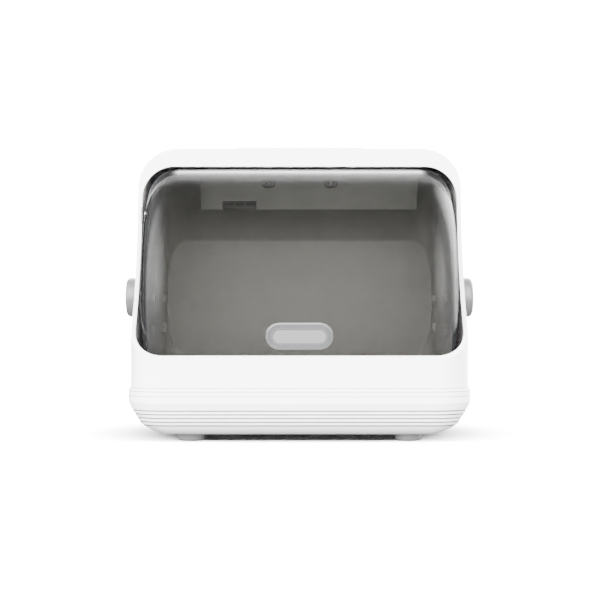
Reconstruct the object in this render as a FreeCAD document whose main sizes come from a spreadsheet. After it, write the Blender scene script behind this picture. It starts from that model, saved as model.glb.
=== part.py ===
import FreeCAD, Part

import os
import re

from FreeCAD import Placement, Rotation, Vector

# A baby bottle sterilizer and dryer: a white cabinet on a grooved base, with a
# smoked see-through visor that rolls up and back about two side discs.
# X runs to the right, Y to the back and Z up; the front faces -Y, and the
# origin is the middle of the footprint, on the surface that the feet stand on.
# Lengths are in millimetres, angles in degrees.

SIZES = {
    # cabinet
    "cabinet_width": 356.0,
    "cabinet_depth": 304.0,
    "cabinet_wall": 4.5,
    "roof_wall": 3.5,
    "roof_rise": 19.0,
    "front_corner": 36.0,
    "back_corner": 44.0,
    "roof_corner": 43.0,
    "hood_setback": 105.0,
    "hood_flange": 4.0,
    "opening_corner": 35.3,
    "opening_lap": 0.6,
    "scoop_drop": 9.9,
    "lip_rise": 34.27,
    "window_corner": 12.0,
    "window_ledge": 6.0,
    "window_side": 49.0,
    "window_drop": 59.0,
    "window_rise": 11.2,
    "seat_gap": 0.3,
    # base
    "base_proud": 2.6,
    "foot_height": 9.0,
    "foot_inset_x": 62.0,
    "foot_inset_y": 54.0,
    "foot_radius": 14.0,
    "foot_round": 2.5,
    "base_taper": 20.0,
    "base_height": 40.6,
    "base_lip": 6.6,
    "base_round": 22.0,
    "base_wall": 3.0,
    "groove_pitch": 3.95,
    "groove_rise": 10.1,
    "groove_width": 1.3,
    "groove_depth": 1.2,
    "bottom_plate_wall": 2.4,
    "bottom_side": 58.0,
    "bottom_end": 72.0,
    "chassis_sheet": 2.6,
    "chassis_height": 5.2,
    "chassis_rim": 9.0,
    "seam_chamfer": 0.5,
    "trim_height": 2.8,
    "trim_round": 1.6,
    # visor and its hinge
    "visor_back": 9.0,
    "visor_lap": 5.03,
    "visor_setback": 5.0,
    "visor_side_gap": 5.5,
    "pivot_drop": 46.8,
    "visor_wall": 2.5,
    "visor_round": 32.0,
    "visor_high_angle": 100.0,
    "running_gap": 2.0,
    "hub_radius": 22.0,
    "shaft_radius": 8.0,
    "shaft_clearance": 0.06,
    "bush_radius": 11.0,
    "bush_flange_radius": 14.0,
    "bush_flange": 3.0,
    "disc_radius": 22.1,
    "disc_gap": 0.6,
    "disc_depth": 17.4,
    "disc_round": 5.0,
    "washer_thickness": 0.3,
    "retainer_thickness": 1.4,
    # handle
    "handle_width": 70.4,
    "handle_height": 29.8,
    "handle_rise": 24.94,
    "handle_proud": 8.0,
    "handle_round": 2.0,
    "inset_width": 55.6,
    "inset_height": 14.8,
    "inset_depth": 1.6,
    "handle_screw_pitch": 36.0,
    "ring_first": 3.0,
    "ring_pitch": 2.0,
    "ring_width": 0.7,
    "ring_depth": 0.5,
    # chamber
    "liner_wall": 2.5,
    "liner_rise": 7.2,
    "sill_rise": 26.0,
    "back_space": 32.0,
    "ceiling_lap": 5.0,
    "lug_depth": 8.0,
    "lug_lead": 76.0,
    "low_lug_drop": 35.3,
    "high_lug_drop": 0.7,
    "lug_reach": 4.3,
    "lug_pitch": 140.0,
    "low_lug_size": 10.8,
    "high_lug_size": 7.2,
    "post_radius": 6.0,
    "post_spread": 200.0,
    "grille_width": 220.0,
    "grille_depth": 16.0,
    "grille_margin": 21.05,
    "slot_width": 2.6,
    "slot_pitch": 6.0,
    # lamp plate
    "lamp_plate_offset": 10.8,
    "lamp_plate_wall": 1.2,
    "lamp_plate_side": 54.0,
    "lamp_plate_length": 47.6,
    "lamp_plate_tilt": 35.0,
    "lamp_plate_return": 12.0,
    "bracket_wall": 5.0,
    "notch_width": 38.9,
    "notch_height": 11.2,
    "notch_centre": -69.0,
    "dimple_pitch": 71.0,
    "dimple_width": 16.0,
    "dimple_height": 11.0,
    "dimple_down": 13.0,
    "lamp_radius": 7.75,
    "lamp_inset": 18.0,
    "lamp_back": 50.0,
    "lamp_drop": 25.5,
    "socket_length": 12.0,
    "socket_width": 20.0,
    "window_pitch": 12.4,
    "window_length": 8.8,
    "window_size": 3.0,
    "cap_length": 8.0,
    # control panel
    "panel_width": 144.6,
    "panel_depth": 52.0,
    "panel_setback": 12.0,
    "panel_proud": 2.8,
    "panel_round": 2.0,
    "panel_corner": 8.0,
    "panel_tongue": 2.2,
    "tongue_wall": 1.0,
    "key_pitch": 23.9,
    "key_row_back": 33.0,
    "key_radius": 7.0,
    "key_gap": 0.3,
    "key_proud": 0.8,
    "key_travel": 0.8,
    "key_flange": 1.2,
    "key_stem_radius": 3.0,
    "cover_wall": 1.6,
    "cover_lead": 5.0,
    "cover_height": 13.0,
    "cover_inset": 22.0,
    "cover_depth": 78.0,
    "cover_hole_radius": 6.8,
    "board_depth": 56.0,
    "board_width": 172.0,
    "cover_screw_spread": 197.6,
    "board_thickness": 1.6,
    "board_lift": 4.1,
    "switch_height": 2.9,
    "switch_width": 6.0,
    # tray and rack
    "tray_height": 10.0,
    "tray_wall": 2.0,
    "tray_side": 27.0,
    "tray_lead": 7.05,
    "tray_back": 4.0,
    "tray_corner": 14.0,
    "rack_margin": 3.0,
    "rack_height": 6.0,
    "rack_rim": 6.0,
    "rack_slat": 3.0,
    "rack_slat_pitch": 11.6,
    "seat_outer": 30.0,
    "seat_inner": 27.0,
    "seat_height": 3.0,
    "seat_pitch_across": 76.0,
    "seat_pitch_deep": 86.0,
    # hot air
    "duct_depth": 20.0,
    "duct_wall": 1.6,
    "blower_radius": 46.0,
    "blower_height": 28.0,
    "blower_y": 12.0,
    "blower_wall": 1.8,
    "blower_inlet": 25.0,
    "outlet_width": 36.0,
    "wheel_radius": 38.0,
    "wheel_height": 15.0,
    "blade_length": 10.0,
    "blade_width": 1.4,
    "wheel_sheet": 1.4,
    "motor_radius": 17.0,
    "motor_height": 7.0,
    "axle_radius": 2.0,
    "heater_width": 70.0,
    "heater_depth": 12.0,
    "heater_height": 20.0,
    "fin_pitch": 5.0,
    "fin_gap": 2.6,
    # electrics
    "main_board_width": 70.0,
    "main_board_depth": 100.0,
    "main_board_side": 30.0,
    "main_board_y": -10.0,
    "standoff_height": 5.0,
    "ballast_width": 62.0,
    "ballast_depth": 44.0,
    "ballast_height": 20.0,
    "ballast_side": 28.0,
    "inlet_width": 24.0,
    "inlet_height": 14.0,
    "inlet_depth": 18.0,
    "inlet_side": 34.0,
    "inlet_rise": 22.0,
    "inlet_mouth_width": 15.6,
    "inlet_mouth_height": 7.6,
    "inlet_mouth_depth": 14.0,
    "inlet_pin_radius": 1.2,
    "inlet_pin_pitch": 8.6,
    # back cover and filter
    "ear_wall": 3.0,
    "filter_x": 50.0,
    "filter_rise": 38.0,
    "filter_width": 100.0,
    "filter_height": 50.0,
    "filter_depth": 14.0,
    "filter_wall": 1.6,
    "filter_bar": 2.4,
    "filter_bar_pitch": 6.0,
    "exhaust_height": 24.0,
    "exhaust_drop": 32.0,
    "exhaust_pitch": 9.0,
    "exhaust_slot": 3.4,
    # fasteners
    "screw_radius": 1.5,
    "screw_length": 5.0,
    "screw_head": 1.8,
    "screw_head_radius": 3.0,
    "plate_overlap": 7.0,
    "vent_width": 3.0,
    "vent_pitch": 8.0,
    "vent_length": 46.0,
    # lid sensor
    "magnet_radius": 4.0,
    "magnet_height": 2.0,
    "sensor_drop": 40.0,
    "sensor_angle": 60.0,
}

# Sizes that follow from the ones above.
FOLLOWS = {
    "base_top": "foot_height + base_height",
    "base_break": "base_top - base_lip",
    "groove_first": "foot_height + groove_rise",
    "chassis_top": "base_top + chassis_height",
    "visor_radius": "(cabinet_depth - visor_setback - visor_back) / 2",
    "pivot_height": "chassis_top + visor_radius - pivot_drop",
    "pivot_depth": "visor_radius + visor_setback",
    "visor_half": "cabinet_width / 2 - cabinet_wall - visor_side_gap",
    "cabinet_top": "pivot_height + visor_radius + roof_rise",
    "opening_top": "pivot_height + visor_radius - opening_lap",
    "scoop_height": "opening_top - scoop_drop",
    "lip_height": "chassis_top + lip_rise",
    "scoop_radius": "((scoop_height - lip_height)^2 + hood_setback^2) / (2 * hood_setback)",
    "visor_low_angle": "asin((pivot_height - lip_height + visor_lap) / visor_radius) / 1deg",
    "handle_angle": "asin((pivot_height - lip_height - handle_rise) / visor_radius) / 1deg",
    "window_width": "cabinet_width - 2 * window_side",
    "window_bottom": "chassis_top + window_rise",
    "window_top": "cabinet_top - window_drop",
    "foot_spread": "cabinet_width - 2 * foot_inset_x",
    "foot_pitch": "cabinet_depth - 2 * foot_inset_y",
    "bottom_opening_width": "cabinet_width - 2 * bottom_side",
    "bottom_opening_depth": "cabinet_depth - 2 * bottom_end",
    "disc_reach": "cabinet_width / 2 + disc_depth",
    "liner_half": "visor_half - visor_wall - running_gap",
    "liner_radius": "visor_radius - visor_wall - running_gap",
    "liner_round": "visor_round - visor_wall - running_gap",
    "liner_bottom": "chassis_top + liner_rise",
    "liner_sill": "liner_bottom + sill_rise",
    "floor_half": "sqrt(liner_radius^2 - (pivot_height - liner_bottom)^2)",
    "liner_back": "cabinet_depth - back_space",
    "ceiling_front": "pivot_depth + ceiling_lap",
    "lug_front": "pivot_depth - lug_lead",
    "low_lug_height": "pivot_height - low_lug_drop",
    "high_lug_height": "pivot_height - high_lug_drop",
    "grille_behind": "pivot_depth + floor_half - grille_margin",
    "lamp_plate_width": "cabinet_width - 2 * lamp_plate_side",
    "lamp_plate_top_depth": "pivot_depth",
    "lamp_plate_top_height": "pivot_height + liner_radius - seat_gap",
    "lamp_length": "lamp_plate_width - 2 * lamp_inset",
    "lamp_depth": "pivot_depth + lamp_back",
    "lamp_height": "pivot_height + liner_radius - lamp_drop",
    "panel_front": "hood_setback + panel_setback",
    "key_row_depth": "panel_front + key_row_back",
    "cover_front": "panel_front - cover_lead",
    "cover_bottom": "cabinet_top - roof_wall - cover_height",
    "board_height": "cover_bottom + board_lift",
    "tray_width": "2 * liner_half - tray_side",
    "tray_front": "pivot_depth - floor_half + tray_lead",
    "tray_depth": "grille_behind - tray_back - tray_front",
    "main_board_x": "bottom_opening_width / 2 - main_board_side",
    "ballast_x": "ballast_side - bottom_opening_width / 2",
    "inlet_x": "inlet_side - window_width / 2",
    "inlet_z": "window_bottom + inlet_rise",
    "filter_z": "window_bottom + filter_rise",
    "exhaust_z": "window_top - exhaust_drop",
    "sensor_reach": "visor_radius - sensor_drop",
}

doc = FreeCAD.newDocument("bottle_sterilizer")
sheet = doc.addObject("Spreadsheet::Sheet", "Sizes")
for row, (alias, number) in enumerate(SIZES.items(), start=1):
    sheet.set("A%d" % row, alias)
    sheet.set("B%d" % row, str(number))
    sheet.setAlias("B%d" % row, alias)
doc.recompute()

ALIAS = re.compile(r"\b(%s)\b" % "|".join(sorted(SIZES, key=len, reverse=True)))
FOLLOWER = re.compile(r"\b(%s)\b" % "|".join(sorted(FOLLOWS, key=len, reverse=True)))
NODES = {}


def formula(text):
    """The text of an expression, with every size read from the sheet."""
    spelled = str(text)
    while FOLLOWER.search(spelled):
        spelled = FOLLOWER.sub(lambda word: "(%s)" % FOLLOWS[word.group()], spelled)
    return ALIAS.sub(r"Sizes.\1", spelled)


def value(text):
    """The number that an expression gives."""
    return float(sheet.evalExpression(formula(text)))


def bind(thing, **sizes):
    """Tie properties of an object to expressions."""
    for name, text in sizes.items():
        thing.setExpression(name, formula(text))
    return thing


def place(thing, x="0", y="0", z="0", turn=None):
    """Put an object at bound coordinates, turned by a fixed rotation."""
    thing.Placement = Placement(Vector(), turn or Rotation())
    for axis, text in zip("xyz", (x, y, z)):
        thing.setExpression("Placement.Base." + axis, formula(text))
    return thing


def span(bounds):
    return "(%s) - (%s)" % (bounds[1], bounds[0])


def centred(middle_text, width):
    """Bounds of a width about a middle."""
    return ("(%s) - (%s) / 2" % (middle_text, width), "(%s) + (%s) / 2" % (middle_text, width))


def block(name, x, y, z):
    """A box between two bounds on each axis."""
    box = doc.addObject("Part::Box", name)
    bind(box, Length=span(x), Width=span(y), Height=span(z))
    return place(box, x[0], y[0], z[0])


AXIS_TURNS = {
    "x": Rotation(Vector(0, 1, 0), 90),
    "y": Rotation(Vector(1, 0, 0), -90),
    "z": Rotation(),
}


def rod(name, axis, radius, length, x="0", y="0", z="0"):
    """A cylinder that starts at a point and runs along a positive axis."""
    cylinder = doc.addObject("Part::Cylinder", name)
    bind(cylinder, Radius=radius, Height=length)
    return place(cylinder, x, y, z, AXIS_TURNS[axis])


def fuse(name, *shapes):
    result = doc.addObject("Part::MultiFuse", name)
    result.Shapes = list(shapes)
    result.Refine = True
    return result


def common(name, *shapes):
    result = doc.addObject("Part::MultiCommon", name)
    result.Shapes = list(shapes)
    result.Refine = True
    return result


def cut(name, base, *tools):
    result = doc.addObject("Part::Cut", name)
    result.Base = base
    result.Tool = tools[0] if len(tools) == 1 else fuse(name + "_tools", *tools)
    result.Refine = True
    return result


def group(name, *shapes):
    """Separate solids of one kind that share a node."""
    result = doc.addObject("Part::Compound", name)
    result.Links = list(shapes)
    return result


def new_body(name):
    return doc.addObject("PartDesign::Body", name)


def body_block(body, x, y, z, kind="Additive"):
    box = body.newObject("PartDesign::%sBox" % kind, body.Name + "_block")
    bind(box, Length=span(x), Width=span(y), Height=span(z))
    return place(box, x[0], y[0], z[0])


def body_rod(body, axis, radius, length, x="0", y="0", z="0", kind="Additive"):
    cylinder = body.newObject("PartDesign::%sCylinder" % kind, body.Name + "_rod")
    bind(cylinder, Radius=radius, Height=length)
    return place(cylinder, x, y, z, AXIS_TURNS[axis])


def repeat(body, feature, axis, length, count):
    """Repeat a body's last feature along an axis, over a bound length."""
    origin_axis = {"x": "X_Axis", "y": "Y_Axis", "z": "Z_Axis"}[axis]
    line = [part for part in body.Origin.OriginFeatures if part.Role == origin_axis][0]
    pattern = body.newObject("PartDesign::LinearPattern", body.Name + "_pattern")
    pattern.Originals = [feature]
    pattern.Direction = (line, [""])
    pattern.Occurrences = count
    bind(pattern, Length=length)
    body.Tip = pattern
    return pattern


def dress(body, kind, size, test):
    """Round or chamfer the edges of a body that pass a test."""
    doc.recompute()
    last = body.Tip
    names = ["Edge%d" % n for n, edge in enumerate(last.Shape.Edges, start=1) if test(edge)]
    if not names:
        raise RuntimeError("no edge found on " + body.Name)
    feature = body.newObject("PartDesign::" + kind, body.Name + "_" + kind.lower())
    feature.Base = (last, names)
    bind(feature, **{"Radius" if kind == "Fillet" else "Size": size})
    body.Tip = feature
    return feature


def middle(edge):
    return edge.valueAt((edge.FirstParameter + edge.LastParameter) / 2)


def runs_along(edge, axis):
    """Whether an edge is straight and parallel to an axis."""
    if edge.Curve.TypeId != "Part::GeomLine":
        return False
    direction = edge.tangentAt(edge.FirstParameter)
    return abs(getattr(direction, axis)) > 0.999


def along(axis):
    return lambda edge: runs_along(edge, axis)


def upright(front=None):
    """Test for upright edges, at the front, at the back or both."""
    def test(edge):
        return runs_along(edge, "z") and (front is None or (middle(edge).y < 0) == front)
    return test


def level(height, behind_y=None):
    """Test for edges that lie at one height, all of them or those behind a plane."""
    def test(edge):
        box = edge.BoundBox
        flat = box.ZLength < 0.01 and abs(box.ZMin - value(height)) < 0.01
        return flat and (behind_y is None or middle(edge).y > behind_y + 0.1)
    return test


def rounded_prism(name, axis, x, y, z, corner):
    """A block with its four edges along one axis rounded."""
    body = new_body(name)
    body_block(body, x, y, z)
    dress(body, "Fillet", corner, along(axis))
    return body


def drum(name, half, radius, rounding):
    """A solid drum about the hinge axis, with rounded rims."""
    body = new_body(name)
    body_rod(body, "x", radius, "2 * (%s)" % half, "-(%s)" % half, PIVOT_Y, "pivot_height")
    dress(body, "Fillet", rounding, lambda edge: edge.Curve.TypeId == "Part::GeomCircle")
    return body


def screw(name, axis, way, x, y, z):
    """A pan-head screw whose head stands on a seat, on the side that way gives."""
    seat = {"x": x, "y": y, "z": z}
    shank = dict(seat)
    head = dict(seat)
    if way > 0:
        shank[axis] = "(%s) - screw_length" % seat[axis]
    else:
        head[axis] = "(%s) - screw_head" % seat[axis]
    return fuse(name, rod(name + "_shank", axis, "screw_radius", "screw_length", **shank),
                rod(name + "_head", axis, "screw_head_radius", "screw_head", **head))


def screw_hole(name, axis, x, y, z):
    """A clearance hole that runs 30 mm each way from a screw's seat."""
    start = {"x": x, "y": y, "z": z}
    start[axis] = "(%s) - 30" % start[axis]
    return rod(name + "_hole", axis, "screw_radius + 0.05", "60", **start)


def node(label, thing):
    """Name a finished sub-part."""
    thing.Label = label
    NODES[label] = thing
    return thing


FRONT = "(-cabinet_depth / 2)"
BACK = "(cabinet_depth / 2)"
SIDE = "(cabinet_width / 2)"
PIVOT_Y = "(-cabinet_depth / 2 + pivot_depth)"
ACROSS = ("-cabinet_width", "cabinet_width")


def behind(depth):
    """Y at a depth behind the plane of the front apron."""
    return "(%s + %s)" % (FRONT, depth)


# Cabinet: one white moulding that makes the front apron, the side walls and
# the hood. Its side edges sweep back in a concave arc up to the hood's face.


EAR_HEIGHTS = ("(window_bottom + 20)", "((window_bottom + window_top) / 2)", "(window_top - 20)")


def rounded_cabinet(name, inset, roof_inset, front):
    """The cabinet's outer form, or the same form inset by its walls."""
    body = new_body(name)
    side = "(%s - %s)" % (SIDE, inset)
    body_block(body, ("-" + side, side), (front, "%s - %s" % (BACK, inset)),
               ("chassis_top", "cabinet_top - %s" % roof_inset))
    dress(body, "Fillet", "back_corner - %s" % inset, upright(front=False))
    return body


def panel_form(name, inset, heights):
    """The plan of the control panel, inset on all sides."""
    return rounded_prism(name, "z", centred("0", "panel_width - 2 * (%s)" % inset),
                         (behind("panel_front + (%s)" % inset),
                          behind("panel_front + panel_depth - (%s)" % inset)),
                         heights, "panel_corner - (%s)" % inset)


def cover_screw_spots():
    """The six places where screws hold the back cover to the cabinet's ears."""
    for side in ("-1", "1"):
        for height in EAR_HEIGHTS:
            yield side + " * (window_width / 2 - window_ledge / 2)", height


def make_cabinet():
    form = rounded_cabinet("cabinet_form", "0", "0", FRONT)
    dress(form, "Fillet", "front_corner", upright(front=True))
    wide = "(%s + 10)" % SIDE
    body_rod(form, "x", "scoop_radius", "2 * " + wide, "-" + wide,
             behind("hood_setback - scoop_radius"), "scoop_height", "Subtractive")
    body_block(form, ("-" + wide, wide), (behind("-10"), behind("hood_setback")),
               ("scoop_height", "cabinet_top + 10"), "Subtractive")
    hood = value(behind("hood_setback"))
    dress(form, "Fillet", "roof_corner", level("cabinet_top", hood))

    deep = rounded_cabinet("cavity_form", "cabinet_wall", "roof_wall",
                           behind("hood_setback + hood_flange"))
    dress(deep, "Fillet", "roof_corner - cabinet_wall",
          level("cabinet_top - roof_wall", hood + value("hood_flange")))
    inner = "(%s - cabinet_wall)" % SIDE
    low = new_body("apron_form")
    body_block(low, ("-" + inner, inner),
               (behind("cabinet_wall"), behind("pivot_depth + bush_radius")),
               ("chassis_top", "pivot_height"))
    dress(low, "Fillet", "front_corner - cabinet_wall", upright(front=True))
    high = new_body("opening_form")
    body_block(high, ("-" + inner, inner),
               (behind("front_corner"), behind("hood_setback + hood_flange + 1")),
               ("pivot_height - 10", "opening_top"))
    dress(high, "Fillet", "opening_corner",
          lambda edge: runs_along(edge, "y") and middle(edge).z > value("pivot_height"))
    window = rounded_prism("window_form", "y", centred("0", "window_width"),
                           ("%s - 20" % BACK, "%s + 10" % BACK),
                           ("window_bottom", "window_top"), "window_corner")
    axle = rod("axle_holes", "x", "bush_radius + 0.05", "2 * " + wide, "-" + wide,
               PIVOT_Y, "pivot_height")
    panel_hole = panel_form("panel_hole", "panel_tongue",
                            ("cabinet_top - roof_wall - 5", "cabinet_top + 5"))
    shell = cut("cabinet_shell", form, deep, low, high, window, axle, panel_hole)
    ears = []
    holes = []
    for x, z in cover_screw_spots():
        ears.append(block("cover_ear", centred(x, "3 * window_ledge"),
                          ("%s - cabinet_wall - ear_wall" % BACK, "%s - cabinet_wall" % BACK),
                          centred(z, "2 * window_ledge")))
        holes.append(screw_hole("cover_screw", "y", x, BACK, z))
    node("outer_shell", cut("outer_shell", fuse("eared_shell", shell, *ears), *holes))


make_cabinet()


# Back cover: a flush plate in the cabinet's rear window, with exhaust slots,
# the mains inlet's opening and a sleeve for the filter drawer.


def make_back_cover():
    plate = rounded_prism("back_cover_form", "y", centred("0", "window_width - 2 * seat_gap"),
                          ("%s - cabinet_wall" % BACK, BACK),
                          ("window_bottom + seat_gap", "window_top - seat_gap"),
                          "window_corner - seat_gap")
    sleeve_outer = block("filter_sleeve", centred("filter_x", "filter_width + 2 * filter_wall"),
                         ("%s - filter_depth - filter_wall" % BACK, "%s - 1" % BACK),
                         centred("filter_z", "filter_height + 2 * filter_wall"))
    sleeve_hole = block("filter_hole", centred("filter_x", "filter_width"),
                        ("%s - filter_depth" % BACK, "%s + 1" % BACK),
                        centred("filter_z", "filter_height"))
    air_hole = block("filter_air_hole", centred("filter_x", "filter_width - 16"),
                     ("%s - filter_depth - 10" % BACK, BACK),
                     centred("filter_z", "filter_height - 16"))
    inlet_hole = block("inlet_hole", centred("inlet_x", "inlet_width + 0.2"),
                       ("%s - 10" % BACK, "%s + 1" % BACK),
                       centred("inlet_z", "inlet_height + 0.2"))
    slots = new_body("exhaust_slots")
    first = "-exhaust_pitch * %d / 2" % (EXHAUST_SLOTS - 1)
    slot = body_block(slots, centred(first, "exhaust_slot"), ("%s - 10" % BACK, "%s + 1" % BACK),
                      centred("exhaust_z", "exhaust_height"))
    repeat(slots, slot, "x", "exhaust_pitch * %d" % (EXHAUST_SLOTS - 1), EXHAUST_SLOTS)
    holes = []
    screws = []
    for x, z in cover_screw_spots():
        holes.append(screw_hole("back_screw", "y", x, BACK, z))
        holes.append(rod("back_screw_well", "y", "screw_head_radius + 0.3", "10", x,
                         "%s - screw_head - 0.2" % BACK, z))
        screws.append(screw("back_screw", "y", 1, x, "%s - screw_head - 0.2" % BACK, z))
    node("back_cover", cut("back_cover", fuse("back_cover_sleeved", plate, sleeve_outer),
                           sleeve_hole, air_hole, inlet_hole, slots, *holes))
    node("back_cover_screws", group("back_cover_screws", *screws))


EXHAUST_SLOTS = 14

make_back_cover()


# Filter drawer: a shallow frame with a louvred face, pulled out to the back,
# and the pad that it carries.


def make_filter():
    gap = "2 * seat_gap"
    frame = block("filter_frame_form", centred("filter_x", "filter_width - " + gap),
                  ("%s - filter_depth + seat_gap" % BACK, BACK),
                  centred("filter_z", "filter_height - " + gap))
    hollow = block("filter_frame_hollow",
                   centred("filter_x", "filter_width - 2 * filter_wall - " + gap),
                   ("%s - filter_depth" % BACK, "%s - filter_wall" % BACK),
                   centred("filter_z", "filter_height - 2 * filter_wall - " + gap))
    louvres = new_body("filter_louvres")
    first = "filter_z - filter_bar_pitch * %d / 2" % (LOUVRES - 1)
    slot = body_block(louvres, centred("filter_x", "filter_width - 20"),
                      ("%s - filter_wall - 1" % BACK, "%s + 1" % BACK),
                      centred(first, "filter_bar_pitch - filter_bar"))
    repeat(louvres, slot, "z", "filter_bar_pitch * %d" % (LOUVRES - 1), LOUVRES)
    node("filter_frame", cut("filter_frame", frame, hollow, louvres))
    node("filter_pad", block("filter_pad",
                             centred("filter_x", "filter_width - 2 * filter_wall - 4 * seat_gap"),
                             ("%s - filter_depth + 1" % BACK, "%s - filter_wall - 0.2" % BACK),
                             centred("filter_z",
                                     "filter_height - 2 * filter_wall - 4 * seat_gap")))


LOUVRES = 6

make_filter()


# Mains inlet: a two-pin figure-eight socket in the back cover.


def make_inlet():
    body = block("inlet_form", centred("inlet_x", "inlet_width"),
                 ("%s - inlet_depth" % BACK, BACK), centred("inlet_z", "inlet_height"))
    mouth = rounded_prism("inlet_mouth", "y", centred("inlet_x", "inlet_mouth_width"),
                          ("%s - inlet_mouth_depth" % BACK, "%s + 1" % BACK),
                          centred("inlet_z", "inlet_mouth_height"),
                          "inlet_mouth_height / 2 - 0.1")
    pins = []
    pin_holes = []
    for side in ("-1", "1"):
        x = "inlet_x + %s * inlet_pin_pitch / 2" % side
        start = "%s - inlet_depth + 0.5" % BACK
        pins.append(rod("inlet_pin", "y", "inlet_pin_radius", "inlet_depth - 4", x, start,
                        "inlet_z"))
        pin_holes.append(rod("inlet_pin_hole", "y", "inlet_pin_radius + 0.05", "inlet_depth",
                             x, start, "inlet_z"))
    node("power_inlet", cut("power_inlet", body, mouth, *pin_holes))
    node("inlet_pins", group("inlet_pins", *pins))


make_inlet()


# Trim ring: a narrow proud band that covers the joint at the cabinet's foot.


def proud_form(name, inset, heights):
    """The plan of the base, which stands proud of the cabinet, or an inset of it."""
    body = new_body(name)
    side = "(%s + base_proud - (%s))" % (SIDE, inset)
    depth = "(%s + base_proud - (%s))" % (BACK, inset)
    body_block(body, ("-" + side, side), ("-" + depth, depth), heights)
    dress(body, "Fillet", "front_corner + base_proud - (%s)" % inset, upright(front=True))
    dress(body, "Fillet", "back_corner + base_proud - (%s)" % inset, upright(front=False))
    return body


def make_trim_ring():
    top = "(chassis_top + trim_height)"
    band = proud_form("trim_form", "0", ("chassis_top", top))
    dress(band, "Fillet", "trim_round", level(top))
    dress(band, "Chamfer", "seam_chamfer", level("chassis_top"))
    hole = proud_form("trim_hole", "base_proud - 0.05", ("chassis_top - 1", top + " + 1"))
    node("trim_ring", cut("trim_ring", band, hole))


make_trim_ring()


# Chassis plate: the plate between base and cabinet. Its rim shows as a strip
# between two seams, and its posts carry the chamber.


GRILLE_Y = behind("grille_behind + grille_depth / 2")
POST_Y = "(%s - duct_depth / 2 - post_radius - 1)" % GRILLE_Y


def make_chassis_plate():
    plate = proud_form("chassis_form", "0", ("base_top", "chassis_top"))
    dress(plate, "Chamfer", "seam_chamfer", level("chassis_top"))
    dress(plate, "Chamfer", "seam_chamfer", level("base_top"))
    well = proud_form("chassis_well", "chassis_rim",
                      ("base_top + chassis_sheet", "chassis_top + 1"))
    duct = block("chassis_duct_hole", centred("0", "grille_width + 0.6"),
                 centred(GRILLE_Y, "duct_depth + 0.6"), ("base_top - 1", "chassis_top"))
    wires = block("chassis_wire_hole", centred("inlet_x", "30"),
                  centred("%s - 26" % BACK, "12"), ("base_top - 1", "chassis_top"))
    open_plate = cut("chassis_open", plate, well, duct, wires)
    posts = []
    for x in ("-post_spread / 2", "post_spread / 2"):
        for y in ("-" + POST_Y, POST_Y):
            posts.append(rod("chassis_post", "z", "post_radius",
                             "liner_bottom - base_top - chassis_sheet / 2", x, y,
                             "base_top + chassis_sheet / 2"))
    node("chassis_plate", fuse("chassis_plate", open_plate, *posts))


make_chassis_plate()


# Base: a white tray whose sides turn under to a small footprint, with five
# fine grooves all round.


GROOVES = 5


def base_form(name, inset):
    """The base's outer form, or the same form inset all round."""
    floor = "(foot_height + %s)" % inset
    lower = proud_form(name + "_lower", inset, ("0", "base_break - " + floor))
    doc.recompute()
    straight = lower.Tip
    sides = []
    for number, face in enumerate(straight.Shape.Faces, start=1):
        if face.BoundBox.ZLength > 1:
            sides.append("Face%d" % number)
        elif face.BoundBox.ZMin > 1:
            top_face = "Face%d" % number
    draft = lower.newObject("PartDesign::Draft", name + "_draft")
    draft.Base = (straight, sides)
    draft.NeutralPlane = (straight, [top_face])
    bind(draft, Angle="base_taper")
    draft.Reversed = True
    lower.Tip = draft
    dress(lower, "Fillet", "base_round - (%s)" % inset, level("0"))
    place(lower, "0", "0", floor)
    upper = proud_form(name + "_upper", inset, ("base_break", "base_top"))
    return fuse(name, lower, upper)


def make_base():
    form = base_form("base_form", "0")
    hollow = base_form("base_hollow", "base_wall")
    core = base_form("groove_core", "groove_depth")
    slabs = []
    for n in range(GROOVES):
        slabs.append(block("groove_slab", ACROSS, ACROSS,
                           centred("groove_first + %d * groove_pitch" % n, "groove_width")))
    bands = common("base_bands", form, group("groove_slabs", *slabs))
    grooves = cut("base_grooves", bands, core)
    opening = block("bottom_opening", centred("0", "bottom_opening_width"),
                    centred("0", "bottom_opening_depth"), ("0", "base_break"))
    holes = [screw_hole("bottom_screw", "z", x, y, BOTTOM_SEAT) for x, y in bottom_screw_spots()]
    node("base_shell", cut("base_shell", form, hollow, grooves, opening, *holes))


BOTTOM_SEAT = "(foot_height + base_wall + bottom_plate_wall)"


def bottom_screw_spots():
    for x in ("-bottom_opening_width / 2 - plate_overlap / 2",
              "bottom_opening_width / 2 + plate_overlap / 2"):
        for y in ("-bottom_opening_depth / 2 + 12", "bottom_opening_depth / 2 - 12"):
            yield x, y


make_base()


# Bottom plate: closes the opening in the base from above, with air vents
# under the blower and four screws.


VENTS = 9


def make_bottom_plate():
    plate = new_body("bottom_plate_form")
    body_block(plate, centred("0", "bottom_opening_width + 2 * plate_overlap"),
               centred("0", "bottom_opening_depth + 2 * plate_overlap"),
               ("foot_height + base_wall", BOTTOM_SEAT))
    dress(plate, "Fillet", "plate_overlap / 2", upright())
    first = "-vent_pitch * %d / 2" % (VENTS - 1)
    slot = body_block(plate, centred(first, "vent_width"), centred("0", "vent_length"),
                      ("0", "base_break"), "Subtractive")
    repeat(plate, slot, "x", "vent_pitch * %d" % (VENTS - 1), VENTS)
    spots = list(bottom_screw_spots())
    holes = [screw_hole("plate_screw", "z", x, y, BOTTOM_SEAT) for x, y in spots]
    node("bottom_plate", cut("bottom_plate", plate, *holes))
    node("bottom_screws", group("bottom_screws", *[
        screw("bottom_screw", "z", 1, x, y, BOTTOM_SEAT) for x, y in spots]))


make_bottom_plate()


# Feet: four round rubber feet with a rounded tread.


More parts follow.
